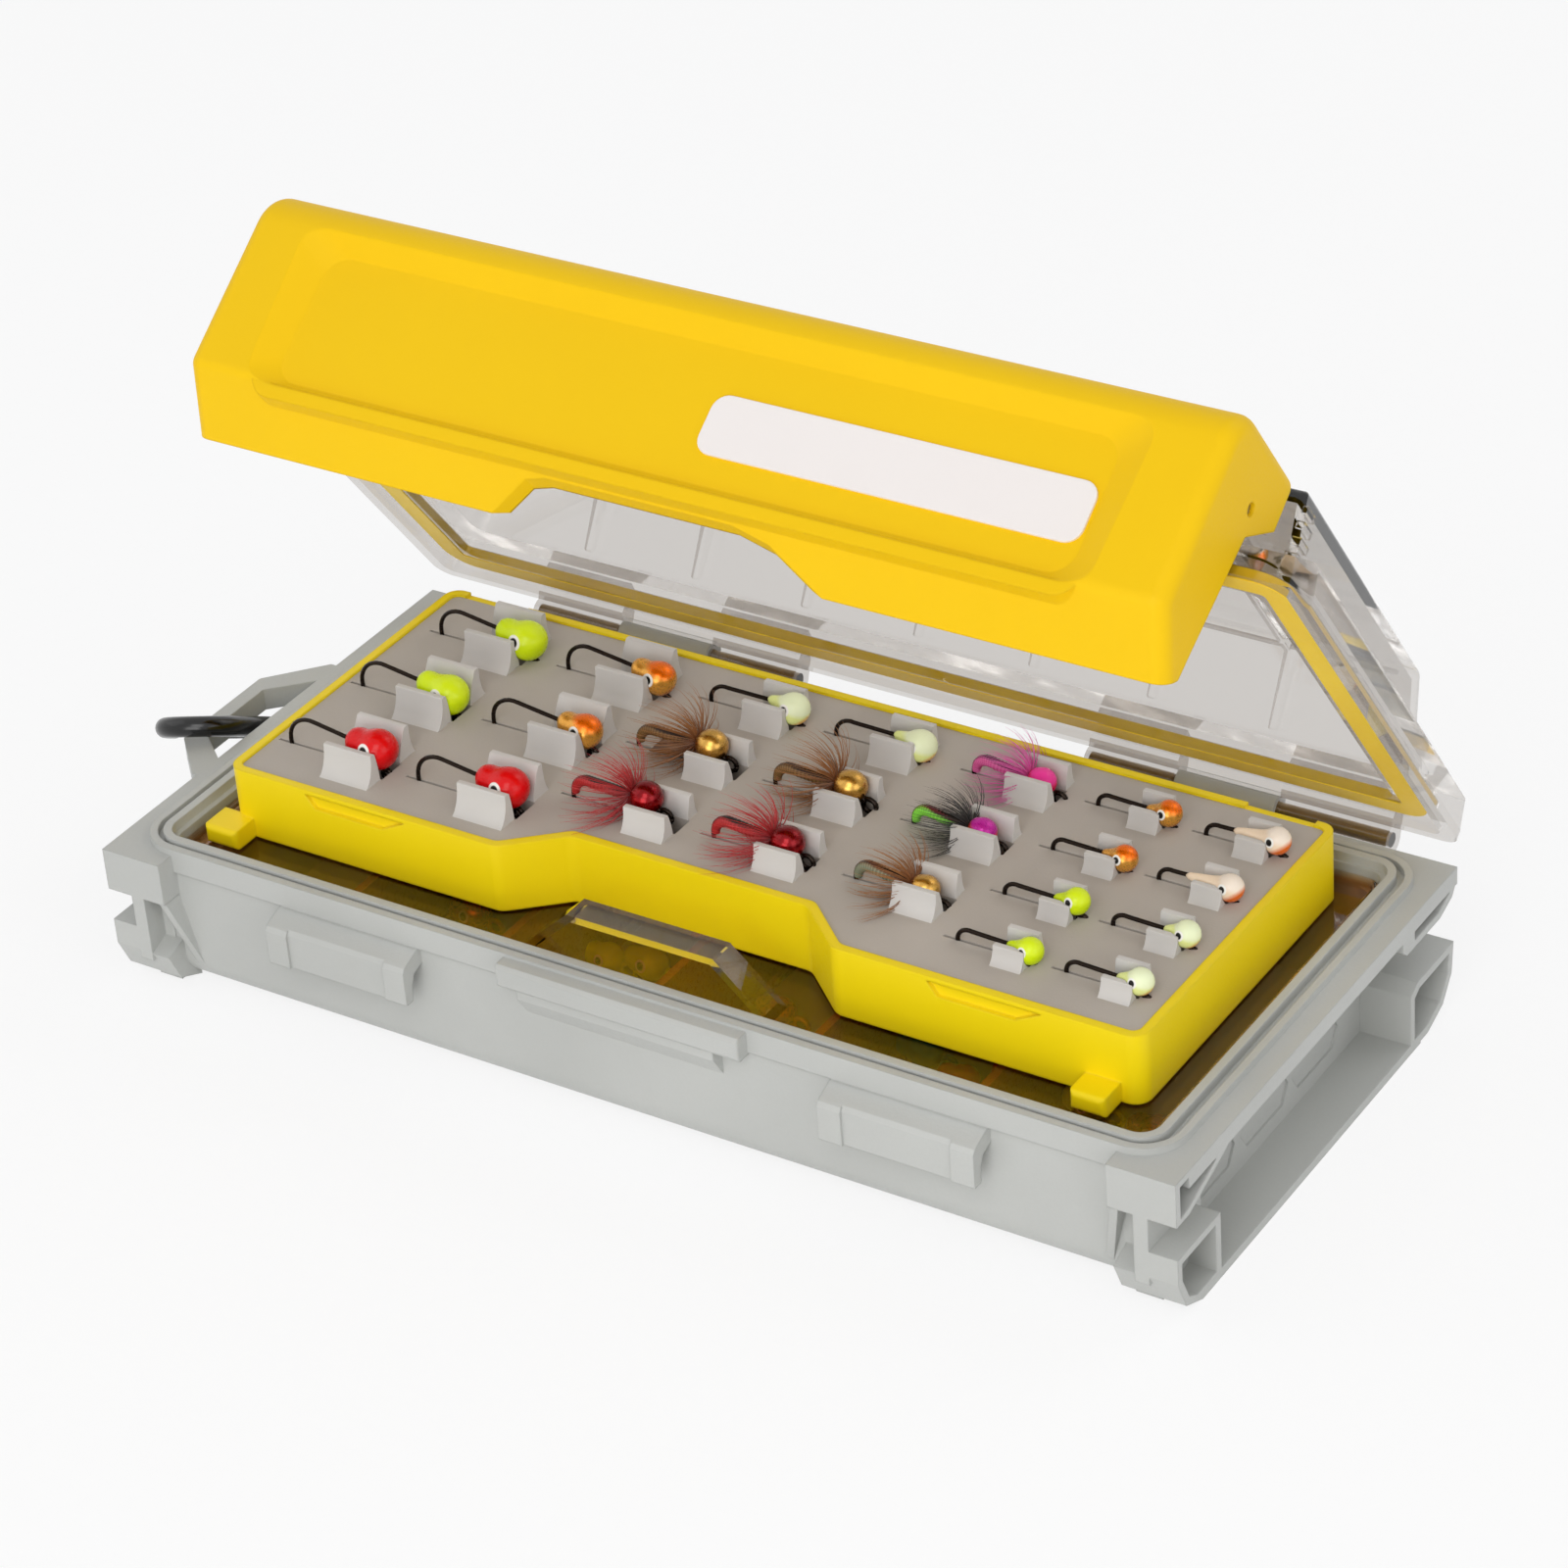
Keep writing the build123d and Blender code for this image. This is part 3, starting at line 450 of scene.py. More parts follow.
FINISHES = {
    # Chartreuse gloss paint with a painted eye; its lighter cap is painted light and its darker
    # nose painted shade
    "chartreuse": painted_ball("chartreuse_gloss_paint", "D2EA06", "DCF222", "C6DE00", 0.0, True),
    # Red gloss paint with a painted eye; its lighter cap is painted light and its darker nose
    # painted shade
    "red": painted_ball("red_gloss_paint", "D8040C", "DC080E", "C0040A", 0.0, True),
    # Copper plate under an orange sprayed cap; its dark brown-red nose below is painted shade
    "copper": painted_ball("copper_plate_orange_cap", "D89A3E", "F0700C", "A8401C", 0.6, True,
                           0.55, 0.75),
    "glow": painted_ball("pale_glow_paint", "E8F09A", "EEF6CC", "F08A1E", 0.0, True, 0.1, 0.7),
    # Blue gloss paint; its lighter cap is painted light and its darker nose painted shade
    "blue": painted_ball("blue_gloss_paint", "1878B8", "2C96D0", "0E4E8C", 0.0, False),
    # Polished brass bead
    "gold": painted_ball("polished_brass_bead", "D8A24A", "C89A48", "C8923E", 1.0, False),
    # Tinted clear coat over a mirror bead
    "ruby": painted_ball("ruby_anodised_bead", "A8060E", "7E0610", "B40A10", 0.9, False),
    "pink": painted_ball("hot_pink_paint", "F01E66", "F03C9A", "E01450", 0.0, False),
    "violet": painted_ball("violet_orange_paint", "E04A1E", "C0249A", "D8281E", 0.3, False),
    "white": painted_ball("white_orange_paint", "F3DCC0", "F4E6D6", "E0691E", 0.0, True,
                          0.35, 0.15),
}

HACKLES = {
    "brown": fibre("brown_feather_barbs", "6A3608", "A86A26"),
    "scarlet": fibre("scarlet_feather_barbs", "9A040C", "C8161C"),
    "rose": fibre("rose_feather_barbs", "D43094", "EC70B8"),
    "black": fibre("black_feather_barbs", "0A0908", "2C2620"),
}

BODIES = {
    "bronze": wound_thread("bronze_peacock_winding", "2A160A", "6E4C22", "A07A40"),
    "crimson": wound_thread("crimson_thread_winding", "120606", "A01014", "C83A34"),
    "rose": wound_thread("rose_thread_winding", "120C0E", "D84A92", "F090C0"),
    "lime": wound_thread("lime_thread_winding", "5A0C10", "7CD83A", "B0F060"),
    "olive": wound_thread("olive_thread_winding", "4A200E", "6C7058", "A8AC90"),
}


# Mesh making. All places are given in millimetres and turned to metres here.

def piece(name, verts, faces, material, body, attributes=None):
    """One object from points in millimetres, which rides on a body."""
    mesh = bpy.data.meshes.new(name)
    mesh.from_pydata([tuple(c * MM for c in v) for v in verts], [], faces)
    for label, values in (attributes or {}).items():
        layer = mesh.attributes.new(label, "FLOAT_VECTOR", "POINT")
        layer.data.foreach_set("vector", [c for value in values for c in value])
    return place_mesh(name, mesh, material, body)


def place_mesh(name, mesh, material, body):
    """Put a finished mesh in the scene, smooth, on a body and with its material."""
    obj = bpy.data.objects.new(name, mesh)
    bpy.context.scene.collection.objects.link(obj)
    if material is not None:
        mesh.materials.clear()
        mesh.materials.append(material)
    mesh.shade_smooth()
    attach(obj, body)
    return obj


class Shape:
    """Points, faces and one vector value a point, gathered over several parts."""

    def __init__(self):
        self.verts = []
        self.faces = []
        self.values = []

    def extend(self, verts, faces, values=None):
        start = len(self.verts)
        self.verts += [tuple(v) for v in verts]
        self.faces += [tuple(start + i for i in face) for face in faces]
        self.values += [tuple(v) for v in (values or verts)]


def loft_rings(rings):
    """Faces that join rings of points of equal length, with both ends closed."""
    verts = [point for ring in rings for point in ring]
    count = len(rings[0])
    faces = []
    for k in range(len(rings) - 1):
        for i in range(count):
            j = (i + 1) % count
            faces.append((k * count + i, k * count + j, (k + 1) * count + j, (k + 1) * count + i))
    faces.append(tuple(reversed(range(count))))
    last = (len(rings) - 1) * count
    faces.append(tuple(last + i for i in range(count)))
    return verts, faces


def tube_rings(path, radii, sides, side_axis=Vector((0, 1, 0))):
    """Rings of points round a path, for a tube that may change in width."""
    rings = []
    for k, point in enumerate(path):
        ahead = path[min(k + 1, len(path) - 1)] - path[max(k - 1, 0)]
        across = side_axis - ahead.normalized() * side_axis.dot(ahead.normalized())
        across.normalize()
        up = ahead.normalized().cross(across)
        turn = [2 * math.pi * i / sides for i in range(sides)]
        rings.append([point + (across * math.cos(a) + up * math.sin(a)) * radii[k] for a in turn])
    return rings


def rounded(obj, width_mm, segments=2, limit=35):
    """Give a piece narrow rounded edges."""
    bevel = obj.modifiers.new("edges", "BEVEL")
    bevel.width = width_mm * MM
    bevel.segments = segments
    bevel.limit_method = "ANGLE"
    bevel.angle_limit = math.radians(limit)
    bevel.harden_normals = True


# Jigs

# The collar behind a ball, over the ball's radius: stations along X and their width
BROAD_COLLAR = [(-0.48, 0.88), (-0.66, 0.8), (-0.85, 0.75), (-1.08, 0.74), (-1.3, 0.69),
                (-1.5, 0.57), (-1.65, 0.38), (-1.72, 0.15)]
SLIM_COLLAR = [(-0.55, 0.83), (-0.8, 0.62), (-1.1, 0.46), (-1.4, 0.36), (-1.65, 0.27),
               (-1.8, 0.12)]
LONG_COLLAR = [(-0.55, 0.83), (-0.9, 0.62), (-1.4, 0.5), (-2.0, 0.42), (-2.6, 0.34),
               (-3.1, 0.26), (-3.35, 0.12)]
COLLARS = {"large": BROAD_COLLAR, "plated": BROAD_COLLAR, "middle": SLIM_COLLAR,
           "small": SLIM_COLLAR, "tapered": LONG_COLLAR}

# How far behind the ball's middle a collar starts to rise, over the ball's radius
RISE_FROM = 0.3

# A head's ring eye: the way it hangs from the head, and its radius; then its wire, its
# neck's radius, how far the neck runs into the head and out of it, and the ring's gap
DRESSED_EYE = (Vector((0.78, 0, -0.62)), 1.15)
PLAIN_EYE = (Vector((0.28, 0, -0.96)), 0.8)
EYE_WIRE = 0.4
EYE_NECK = 0.6
NECK_IN = 0.3
NECK_OUT = 0.5
EYE_GAP = 0.3


def hook_path(jig):
    """The hook wire's line: from the head along the shank, round the bend, into the slit."""
    size = SIZES[jig.size]
    leg = jig.x - size.reach
    turn = leg + size.bend
    top = PAD_TOP + size.top
    drop = min(size.bend, size.top)
    path = [Vector((jig.x - SHANK_START * size.ball, 0, PAD_TOP + jig.lift)),
            Vector((jig.x - size.collar, 0, PAD_TOP + size.neck))]
    for step in range(-1, 9):
        angle = math.radians(step * BEND_STEP)
        path.append(Vector((turn - size.bend * math.sin(angle), 0,
                            top - drop * (1 - math.cos(angle)))))
    path.append(Vector((leg, 0, PAD_TOP - LEG_DEPTH)))
    for point in path:
        point.y = jig.slit + (jig.y - jig.slit) * (point.x - leg) / size.reach
    return path


def head_profile(kind):
    """Stations along X of a head over its ball's radius: place and width."""
    degrees = [0.5, *range(12, 109, 12)]
    if kind not in COLLARS:
        degrees += [*range(120, 169, 12), 179.5]
    ball = [(math.cos(math.radians(d)), math.sin(math.radians(d))) for d in degrees]
    return ball + COLLARS.get(kind, [])


def turned_head(kind, tilt, sides=28):
    """A head turned about X over its ball's radius, with its collar tilted up behind."""
    rings = []
    for along, width in head_profile(kind):
        rise = tilt * max(0.0, -RISE_FROM - along)
        turn = [2 * math.pi * i / sides for i in range(sides)]
        rings.append([Vector((along, width * math.cos(a), width * math.sin(a) + rise))
                      for a in turn])
    return loft_rings(rings)


def heads_of(finish):
    """All heads of one finish, as one piece that stands for its CAD node."""
    node = STANDS_FOR.get(finish, finish)
    shape = Shape()
    for jig in JIGS:
        if jig.finish != finish:
            continue
        size = SIZES[jig.size]
        centre = Vector((jig.x, jig.y, PAD_TOP + jig.lift))
        tilt = (size.neck - jig.lift) / max(size.collar - RISE_FROM * size.ball, size.ball)
        values, faces = turned_head(jig.size, tilt)
        shape.extend([centre + v * size.ball for v in values], faces, values)
    head = piece(f"heads_{finish}", shape.verts, shape.faces, FINISHES[finish], "tray",
                 {"ball": shape.values})
    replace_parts(head, f"jig_heads_{node}")


def ring_eye(centre, radius, wire):
    """A wire ring that stands in the jig's own plane."""
    ring = [centre + Vector((math.cos(a), 0, math.sin(a))) * radius for a in
            [2 * math.pi * i / 16 for i in range(17)]]
    return loft_rings(tube_rings(ring, [wire] * 17, 8))


def hook_wires():
    """Every hook: the round wire, and the ring eye that hangs under its head."""
    shape = Shape()
    for jig in JIGS:
        ball = SIZES[jig.size].ball
        path = hook_path(jig)
        shape.extend(*loft_rings(tube_rings(path, [WIRE_R] * len(path), 10)))
        centre = Vector((jig.x, jig.y, PAD_TOP + jig.lift))
        way, radius = DRESSED_EYE if jig.size in ("fly", "nymph") else PLAIN_EYE
        neck = [centre + way * (ball - NECK_IN), centre + way * (ball + NECK_OUT)]
        shape.extend(*loft_rings(tube_rings(neck, [EYE_NECK] * 2, 8)))
        shape.extend(*ring_eye(centre + way * (ball + EYE_GAP + radius), radius, EYE_WIRE))
    wires = piece("hook_wires", shape.verts, shape.faces, MATERIALS["wire"], "tray")
    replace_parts(wires, "jig_hooks")


def stored_heads(name, spots, finish):
    """The loose jigs of one finish in the bins: a head on its side and its ring eye."""
    shape = Shape()
    out, up, eye, wire = STORED_EYE
    for x, y, radius, kind in spots:
        if kind != finish:
            continue
        values, faces = turned_head("large", STORED_TILT, 20)
        centre = Vector((x, y, BIN_FLOOR + radius))
        shape.extend([centre + v * radius for v in values], faces, values)
        verts, faces = ring_eye(centre + Vector((radius + out, 0, up - radius)), eye, wire)
        shape.extend(verts, faces, [(0, 0, 0)] * len(verts))
    return piece(f"{name}_{finish}", shape.verts, shape.faces, FINISHES[finish], "base",
                 {"ball": shape.values})


# A wound body: its radius, the height of its ribs, where on half a wave its swell starts
# and how much of the wave it takes, the shift off the wire along the shank and in the
# bend, and steps along the shank and the bend
WIND_R = 0.92
WIND_RIB = 0.05
SWELL_START = 0.3
SWELL_SHARE = 0.55
SHANK_SHIFT = Vector((0, 0, -0.5))
BEND_SHIFT = Vector((0.45, 0, 0))
SHANK_STEPS = 24
BEND_PARTS = 3


def wound_body(jig, kind, number):
    """The thread-wound body on a dressed jig, which curls round the bend."""
    path = hook_path(jig)
    line = [path[0].lerp(path[2], s / SHANK_STEPS) for s in range(SHANK_STEPS)]
    for first, second in zip(path[2:11], path[3:12]):
        line += [first.lerp(second, s / BEND_PARTS) for s in range(BEND_PARTS)]
    rings, values = [], []
    for k, point in enumerate(line):
        share = k / (len(line) - 1)
        swell = math.sin(math.pi * min(1.0, SWELL_START + SWELL_SHARE * share))
        width = WIND_R * swell ** 0.5
        inward = SHANK_SHIFT.lerp(BEND_SHIFT, max(0.0, share - 0.5) * 2)
        rib = WIND_RIB * math.cos(k * math.pi)
        ring = tube_rings([line[max(k - 1, 0)] + inward, point + inward,
                           line[min(k + 1, len(line) - 1)] + inward], [width + rib] * 3, 16)[1]
        rings.append(ring)
        back = Vector((0, 0, 1)).lerp(Vector((-1, 0, 0)), max(0.0, share - 0.45) * 1.8)
        for vert in ring:
            values.append((share, k % 2, (vert - point - inward).dot(back) / width))
    verts, faces = loft_rings(rings)
    piece(f"wound_body_{number}", verts, faces, BODIES[kind], "tray",
          {"wind": values})


# Hackles: barbs on each, their length over the ball's radius, their thickness, the radius
# of the ring they spring from and how far it stands behind the ball's middle, over the
# ball's radius; the turn from one to the next in radians, their lean in degrees, and the
# number that each jig's own seed counts on from
BARBS = 150
BARB_REACH = 4.6
BARB_THICK = 0.13
BARB_RING = 0.7
RING_BEHIND = 0.95
BARB_TURN = 2.399963
BARB_LEAN = (-70, -8)
FIRST_SEED = 11

# A barb's bow over its length: its start, its two handles and its end, and the width of
# its tip over its root; then the wobble of its place in radians, and its shortest reach
BARB_BOW = ((0, 0, 0), (0.12, 0, 0.34), (0.06, 0, 0.72), (-0.16, 0, 1.0))
BARB_TIP = 0.12
BARB_WOBBLE = 0.2
BARB_SHORT = 0.62

# How high a hackle stands over its root
BARB_TOP = 8.5

# Low barbs: their height over the pad, and how far they spread and stack up for each
# millimetre that they would lie too low
BARB_CLEAR = 0.2
BARB_SPREAD = 0.6
BARB_STACK = 0.12


def hackle_tree():
    """The nodes of a hackle: barbs that spring from a ring, lean back and end in a point."""
    tree = bpy.data.node_groups.new("hackle_barbs", "GeometryNodeTree")
    face = tree.interface
    for label, kind in (("Barbs", "Int"), ("Length", "Float"), ("Thickness", "Float"),
                        ("Ring", "Float"), ("Seed", "Int"), ("Finish", "Material")):
        face.new_socket(label, in_out="INPUT", socket_type="NodeSocket" + kind)
    face.new_socket("Geometry", in_out="OUTPUT", socket_type="NodeSocketGeometry")
    given = add(tree, "NodeGroupInput").outputs
    # One barb: a bowed line with a three-sided section that thins to its tip
    start, bend, sweep, end = BARB_BOW
    bow = add(tree, "GeometryNodeCurvePrimitiveBezierSegment", inputs={
        "Resolution": 5, "Start": start, "Start Handle": bend, "End Handle": sweep, "End": end})
    share = add(tree, "GeometryNodeSplineParameter")
    thin = add(tree, "ShaderNodeMapRange", inputs={
        "Value": share.outputs["Factor"], "To Min": 1.0, "To Max": BARB_TIP})
    kept = add(tree, "GeometryNodeStoreNamedAttribute", {"data_type": "FLOAT", "domain": "POINT"},
               {"Geometry": bow.outputs[0], "Name": "along", "Value": share.outputs["Factor"]})
    width = add(tree, "ShaderNodeMath", {"operation": "DIVIDE"},
                {0: given["Thickness"], 1: given["Length"]})
    section = add(tree, "GeometryNodeCurvePrimitiveCircle", {"mode": "RADIUS"}, {
        "Resolution": 3, "Radius": width.outputs[0]})
    barb = add(tree, "GeometryNodeCurveToMesh", inputs={
        "Curve": kept.outputs[0], "Profile Curve": section.outputs[0],
        "Scale": thin.outputs[0], "Fill Caps": True})
    # Three draws for each barb: the wobble of its place, its lean and its reach
    draws = []
    for shift, low, high in ((0, -BARB_WOBBLE, BARB_WOBBLE),
                             (7, *map(math.radians, BARB_LEAN)), (19, BARB_SHORT, 1.0)):
        seed = add(tree, "ShaderNodeMath", {"operation": "ADD"}, {0: given["Seed"], 1: shift})
        draw = add(tree, "FunctionNodeRandomValue", {"data_type": "FLOAT"}, {
            2: low, 3: high, "Seed": seed.outputs[0]})
        draws.append(draw.outputs[1])
    wobble, lean, reach = draws
    # Where each barb stands on the ring
    line = add(tree, "GeometryNodeMeshLine", {"mode": "OFFSET"}, {
        "Count": given["Barbs"], "Offset": (0, 0, 0)})
    index = add(tree, "GeometryNodeInputIndex")
    step = add(tree, "ShaderNodeMath", {"operation": "MULTIPLY"},
               {0: index.outputs[0], 1: BARB_TURN})
    roll = add(tree, "ShaderNodeMath", {"operation": "ADD"}, {0: step.outputs[0], 1: wobble})
    sine = add(tree, "ShaderNodeMath", {"operation": "SINE"}, {0: roll.outputs[0]})
    cosine = add(tree, "ShaderNodeMath", {"operation": "COSINE"}, {0: roll.outputs[0]})
    way = add(tree, "ShaderNodeCombineXYZ", inputs={
        "Y": sine.outputs[0], "Z": cosine.outputs[0]})
    spot = add(tree, "ShaderNodeVectorMath", {"operation": "SCALE"},
               {0: way.outputs[0], "Scale": given["Ring"]})
    moved = add(tree, "GeometryNodeSetPosition", inputs={
        "Geometry": line.outputs[0], "Position": spot.outputs[0]})
    # How far it turns round the shank, leans back and reaches
    back = add(tree, "ShaderNodeMath", {"operation": "MULTIPLY"}, {0: roll.outputs[0], 1: -1.0})
    turned = add(tree, "ShaderNodeCombineXYZ", inputs={"X": back.outputs[0]})
    tilt = add(tree, "ShaderNodeCombineXYZ", inputs={"Y": lean})
    rotation = add(tree, "FunctionNodeRotateRotation", {"rotation_space": "LOCAL"}, {
        0: add(tree, "FunctionNodeEulerToRotation", inputs={0: turned.outputs[0]}).outputs[0],
        1: add(tree, "FunctionNodeEulerToRotation", inputs={0: tilt.outputs[0]}).outputs[0]})
    size = add(tree, "ShaderNodeMath", {"operation": "MULTIPLY"}, {0: reach, 1: given["Length"]})
    planted = add(tree, "GeometryNodeInstanceOnPoints", inputs={
        "Points": moved.outputs[0], "Instance": barb.outputs[0], "Rotation": rotation.outputs[0],
        "Scale": size.outputs[0]})
    real = add(tree, "GeometryNodeRealizeInstances", inputs={0: planted.outputs[0]})
    coated = add(tree, "GeometryNodeSetMaterial", inputs={
        "Geometry": real.outputs[0], "Material": given["Finish"]})
    add(tree, "NodeGroupOutput", inputs={0: coated.outputs[0]})
    return tree


def run_tree(tree, values):
    """The plain mesh that a tree of nodes gives for these named inputs."""
    maker = bpy.data.objects.new("maker", bpy.data.meshes.new("maker"))
    bpy.context.scene.collection.objects.link(maker)
    modifier = maker.modifiers.new("nodes", "NODES")
    modifier.node_group = tree
    for item in tree.interface.items_tree:
        if item.name in values:
            modifier[item.identifier] = values[item.name]
    bpy.context.view_layer.update()
    evaluated = maker.evaluated_get(bpy.context.evaluated_depsgraph_get())
    mesh = bpy.data.meshes.new_from_object(evaluated)
    bpy.data.objects.remove(maker)
    return mesh


def settle_barbs(mesh, root):
    """Press the barbs down above their root, and lay the low ones along the pad."""
    lowest = PAD_TOP + BARB_CLEAR - root.z
    for vertex in mesh.vertices:
        x, y, z = vertex.co / MM
        if z > 0:
            z = BARB_TOP * (1 - math.exp(-z / BARB_TOP))
        if z < lowest:
            y += math.copysign((lowest - z) * BARB_SPREAD, y)
            z = lowest + (lowest - z) * BARB_STACK
        vertex.co = (Vector((x, y, z)) + root) * MM


def dress_jigs():
    """Wound bodies and hackles on the jigs that have them."""
    tree = hackle_tree()
    for number, feather, body in DRESSINGS:
        jig = JIGS[number]
        ball = SIZES[jig.size].ball
        wound_body(jig, body, number)
        mesh = run_tree(tree, {
            "Barbs": BARBS, "Length": BARB_REACH * ball * MM, "Thickness": BARB_THICK * MM,
            "Ring": BARB_RING * MM, "Seed": FIRST_SEED + number, "Finish": HACKLES[feather]})
        settle_barbs(mesh, Vector((jig.x - ball * RING_BEHIND, jig.y, PAD_TOP + jig.lift)))
        hackle = place_mesh(f"hackle_{number}", mesh, None, "tray")
        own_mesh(hackle)


# The pad

# Steps round each rounded corner of an outline
CORNER_STEPS = 6


def round_corners(points, radii):
    """An outline with each corner swapped for a short arc."""
    outline = []
    for k, point in enumerate(points):
        here = Vector(point)
        before = (Vector(points[k - 1]) - here).normalized()
        after = (Vector(points[(k + 1) % len(points)]) - here).normalized()
        half = before.angle(after) / 2
        cut = radii[k] / math.tan(half)
        start, end = here + before * cut, here + after * cut
        centre = here + (before + after).normalized() * (radii[k] / math.sin(half))
        for step in range(CORNER_STEPS + 1):
            middle = start.lerp(end, step / CORNER_STEPS) - centre
            outline.append(centre + middle.normalized() * radii[k])
    return outline


def prism(outline, low, high):
    """Points and faces of an outline in X and Y, carried up."""
    rings = [[Vector((p[0], p[1], z)) for p in outline] for z in (low, high)]
    return loft_rings(rings)


def well_width(size):
    """Half the width of the opening between a jig's lips, at the pad's top."""
    return min(size.front[1], size.rear[1], size.ball * WELL_SHARE)


def slit_outline(jig):
    """Plan of one cut in the pad: the narrow slit and the opening between the lips."""
    size = SIZES[jig.size]
    half, wide = SLIT_WIDTH / 2, well_width(size) - WELL_GAP
    right = LIP_ENDS[jig.column] + WELL_PAST_LIPS
    well = LIP_ENDS[jig.column] - size.lip
    left = jig.x - size.reach - SLIT_PAST_LEG
    y = jig.slit
    return [(left, y - half), (well, y - half), (well, y - wide), (right, y - wide),
            (right, y + wide), (well, y + wide), (well, y + half), (left, y + half)]


# Points closer than this many millimetres are one point
DOUBLES = 0.001


def face_outwards(mesh, join=False):
    """Turn a mesh's faces outwards, where asked after its doubled points are joined."""
    fixed = bmesh.new()
    fixed.from_mesh(mesh)
    if join:
        bmesh.ops.remove_doubles(fixed, verts=fixed.verts, dist=DOUBLES * MM)
    bmesh.ops.recalc_face_normals(fixed, faces=fixed.faces)
    fixed.to_mesh(mesh)
    fixed.free()


def cut_away(obj, shape):
    """Cut a closed shape out of an object, and keep the plain mesh."""
    tool_mesh = bpy.data.meshes.new("tool")
    tool_mesh.from_pydata([tuple(c * MM for c in v) for v in shape.verts], [], shape.faces)
    tool = bpy.data.objects.new("tool", tool_mesh)
    bpy.context.scene.collection.objects.link(tool)
    for mesh in (obj.data, tool_mesh):
        face_outwards(mesh, join=True)
    modifier = obj.modifiers.new("tool", "BOOLEAN")
    modifier.operation = "DIFFERENCE"
    modifier.object = tool
    modifier.solver = "EXACT"
    bpy.context.view_layer.update()
    evaluated = obj.evaluated_get(bpy.context.evaluated_depsgraph_get())
    made = bpy.data.meshes.new_from_object(evaluated)
    obj.modifiers.remove(modifier)
    obj.data = made
    bpy.data.objects.remove(tool)


def slit_pad():
    """The pad: one block with a cut for every jig."""
    low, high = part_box("tray_pad")
    side, front, rear = high.x / MM, low.y / MM, high.y / MM
    bay = front + BAY_DEPTH
    outline = [(-side, rear), (-side, front), (-BAY_FRONT, front), (-BAY_BACK, bay),
               (BAY_BACK, bay), (BAY_FRONT, front), (side, front), (side, rear)]
    block = round_corners(outline, PAD_CORNERS)
    verts, faces = prism(block, low.z / MM, PAD_TOP)
    pad = piece("slit_pad", verts, faces, MATERIALS["pad"], "tray")
    cuts = Shape()
    for jig in JIGS:
        cuts.extend(*prism(slit_outline(jig), PAD_TOP - SLIT_DEPTH, PAD_TOP + CUTTER_OVER))
    cut_away(pad, cuts)
    pad.data.shade_flat()
    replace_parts(pad, "tray_pad")


def lip_section(size, front):
    """A lip's section: upright by the head, a thin flat top and a hollow ramp outside."""
    foot, crest, height = size.front if front else size.rear
    root = well_width(size)
    shoulder = crest + LIP_THICK
    section = [(root, -LIP_ROOT), (root, 0.0)]
    for step in range(1, UPRIGHT_STEPS):
        share = step / UPRIGHT_STEPS
        section.append((root + (crest - root) * share ** LIP_BOW, height * share))
    section += [(crest, height * CREST_START), (crest + CREST_INSIDE, height),
                (shoulder - CREST_OUTSIDE, height)]
    for step in range(RAMP_STEPS + 1):
        angle = math.radians(90 - 90 / RAMP_STEPS * step)
        section.append((foot + (shoulder - foot) * math.sin(angle),
                        (height - CREST_OUTSIDE) * (1 - math.cos(angle)) - RAMP_SAG * step))
    section.append((foot, -LIP_ROOT))
    return section


def off_the_ball(jig, point):
    """A lip's point, pushed sideways where it would lie inside the jig's head."""
    reach = SIZES[jig.size].ball + HEAD_GAP
    across = point.x - jig.x
    up = point.z - PAD_TOP - jig.lift
    room = reach ** 2 - across ** 2 - up ** 2
    away = point.y - jig.y
    if room > 0 and abs(away) < math.sqrt(room):
        point.y = jig.y + math.copysign(math.sqrt(room), away)
    return point


def pad_lips():
    """Two lips for each jig, which hold its head from the front and from behind."""
    shape = Shape()
    for jig in JIGS:
        size = SIZES[jig.size]
        end = LIP_ENDS[jig.column]
        for front in (True, False):
            side = -1 if front else 1
            rings = []
            for step in range(LIP_STEPS + 1):
                x = end - size.lip * (1 - step / LIP_STEPS)
                rings.append([off_the_ball(jig, Vector((x, jig.slit + side * out, PAD_TOP + up)))
                              for out, up in lip_section(size, front)])
            shape.extend(*loft_rings(rings))
    lips = piece("pad_lips", shape.verts, shape.faces, MATERIALS["lip"], "tray")
    face_outwards(lips.data)
    rounded(lips, LIP_EDGE, 3)
    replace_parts(lips, "tray_pad")


# The latch

def opened(point):
    """A point of the shut lid, turned to where the lid stands open."""
    turn = Matrix.Rotation(math.radians(-LID_OPEN), 3, "X")
    return turn @ (Vector(point) - HINGE) + HINGE


def face_ring(x0, x1, z0, z1, corner, y):
    """A rounded rectangle that stands in the shut lid's front, at one depth."""
    corners = ((x1 - corner, z1 - corner), (x0 + corner, z1 - corner),
               (x0 + corner, z0 + corner), (x1 - corner, z0 + corner))
    ring = []
    for quarter, (x, z) in enumerate(corners):
        for step in range(CORNER_STEPS + 1):
            angle = math.radians(90 * quarter + 90 / CORNER_STEPS * step)
            ring.append(opened((x + corner * math.cos(angle), y, z + corner * math.sin(angle))))
    return ring


def dish_ring(y):
    """The dish's outline at one depth, with its sloping sides."""
    deep = y - DISH_FACE
    return face_ring(DISH_ENDS[0] + DISH_END_SLOPE * deep, DISH_ENDS[1] - DISH_END_SLOPE * deep,
                     DISH_LOW + DISH_LOW_SLOPE * deep, DISH_TOP - DISH_TOP_SLOPE * deep,
                     DISH_CORNER, y)


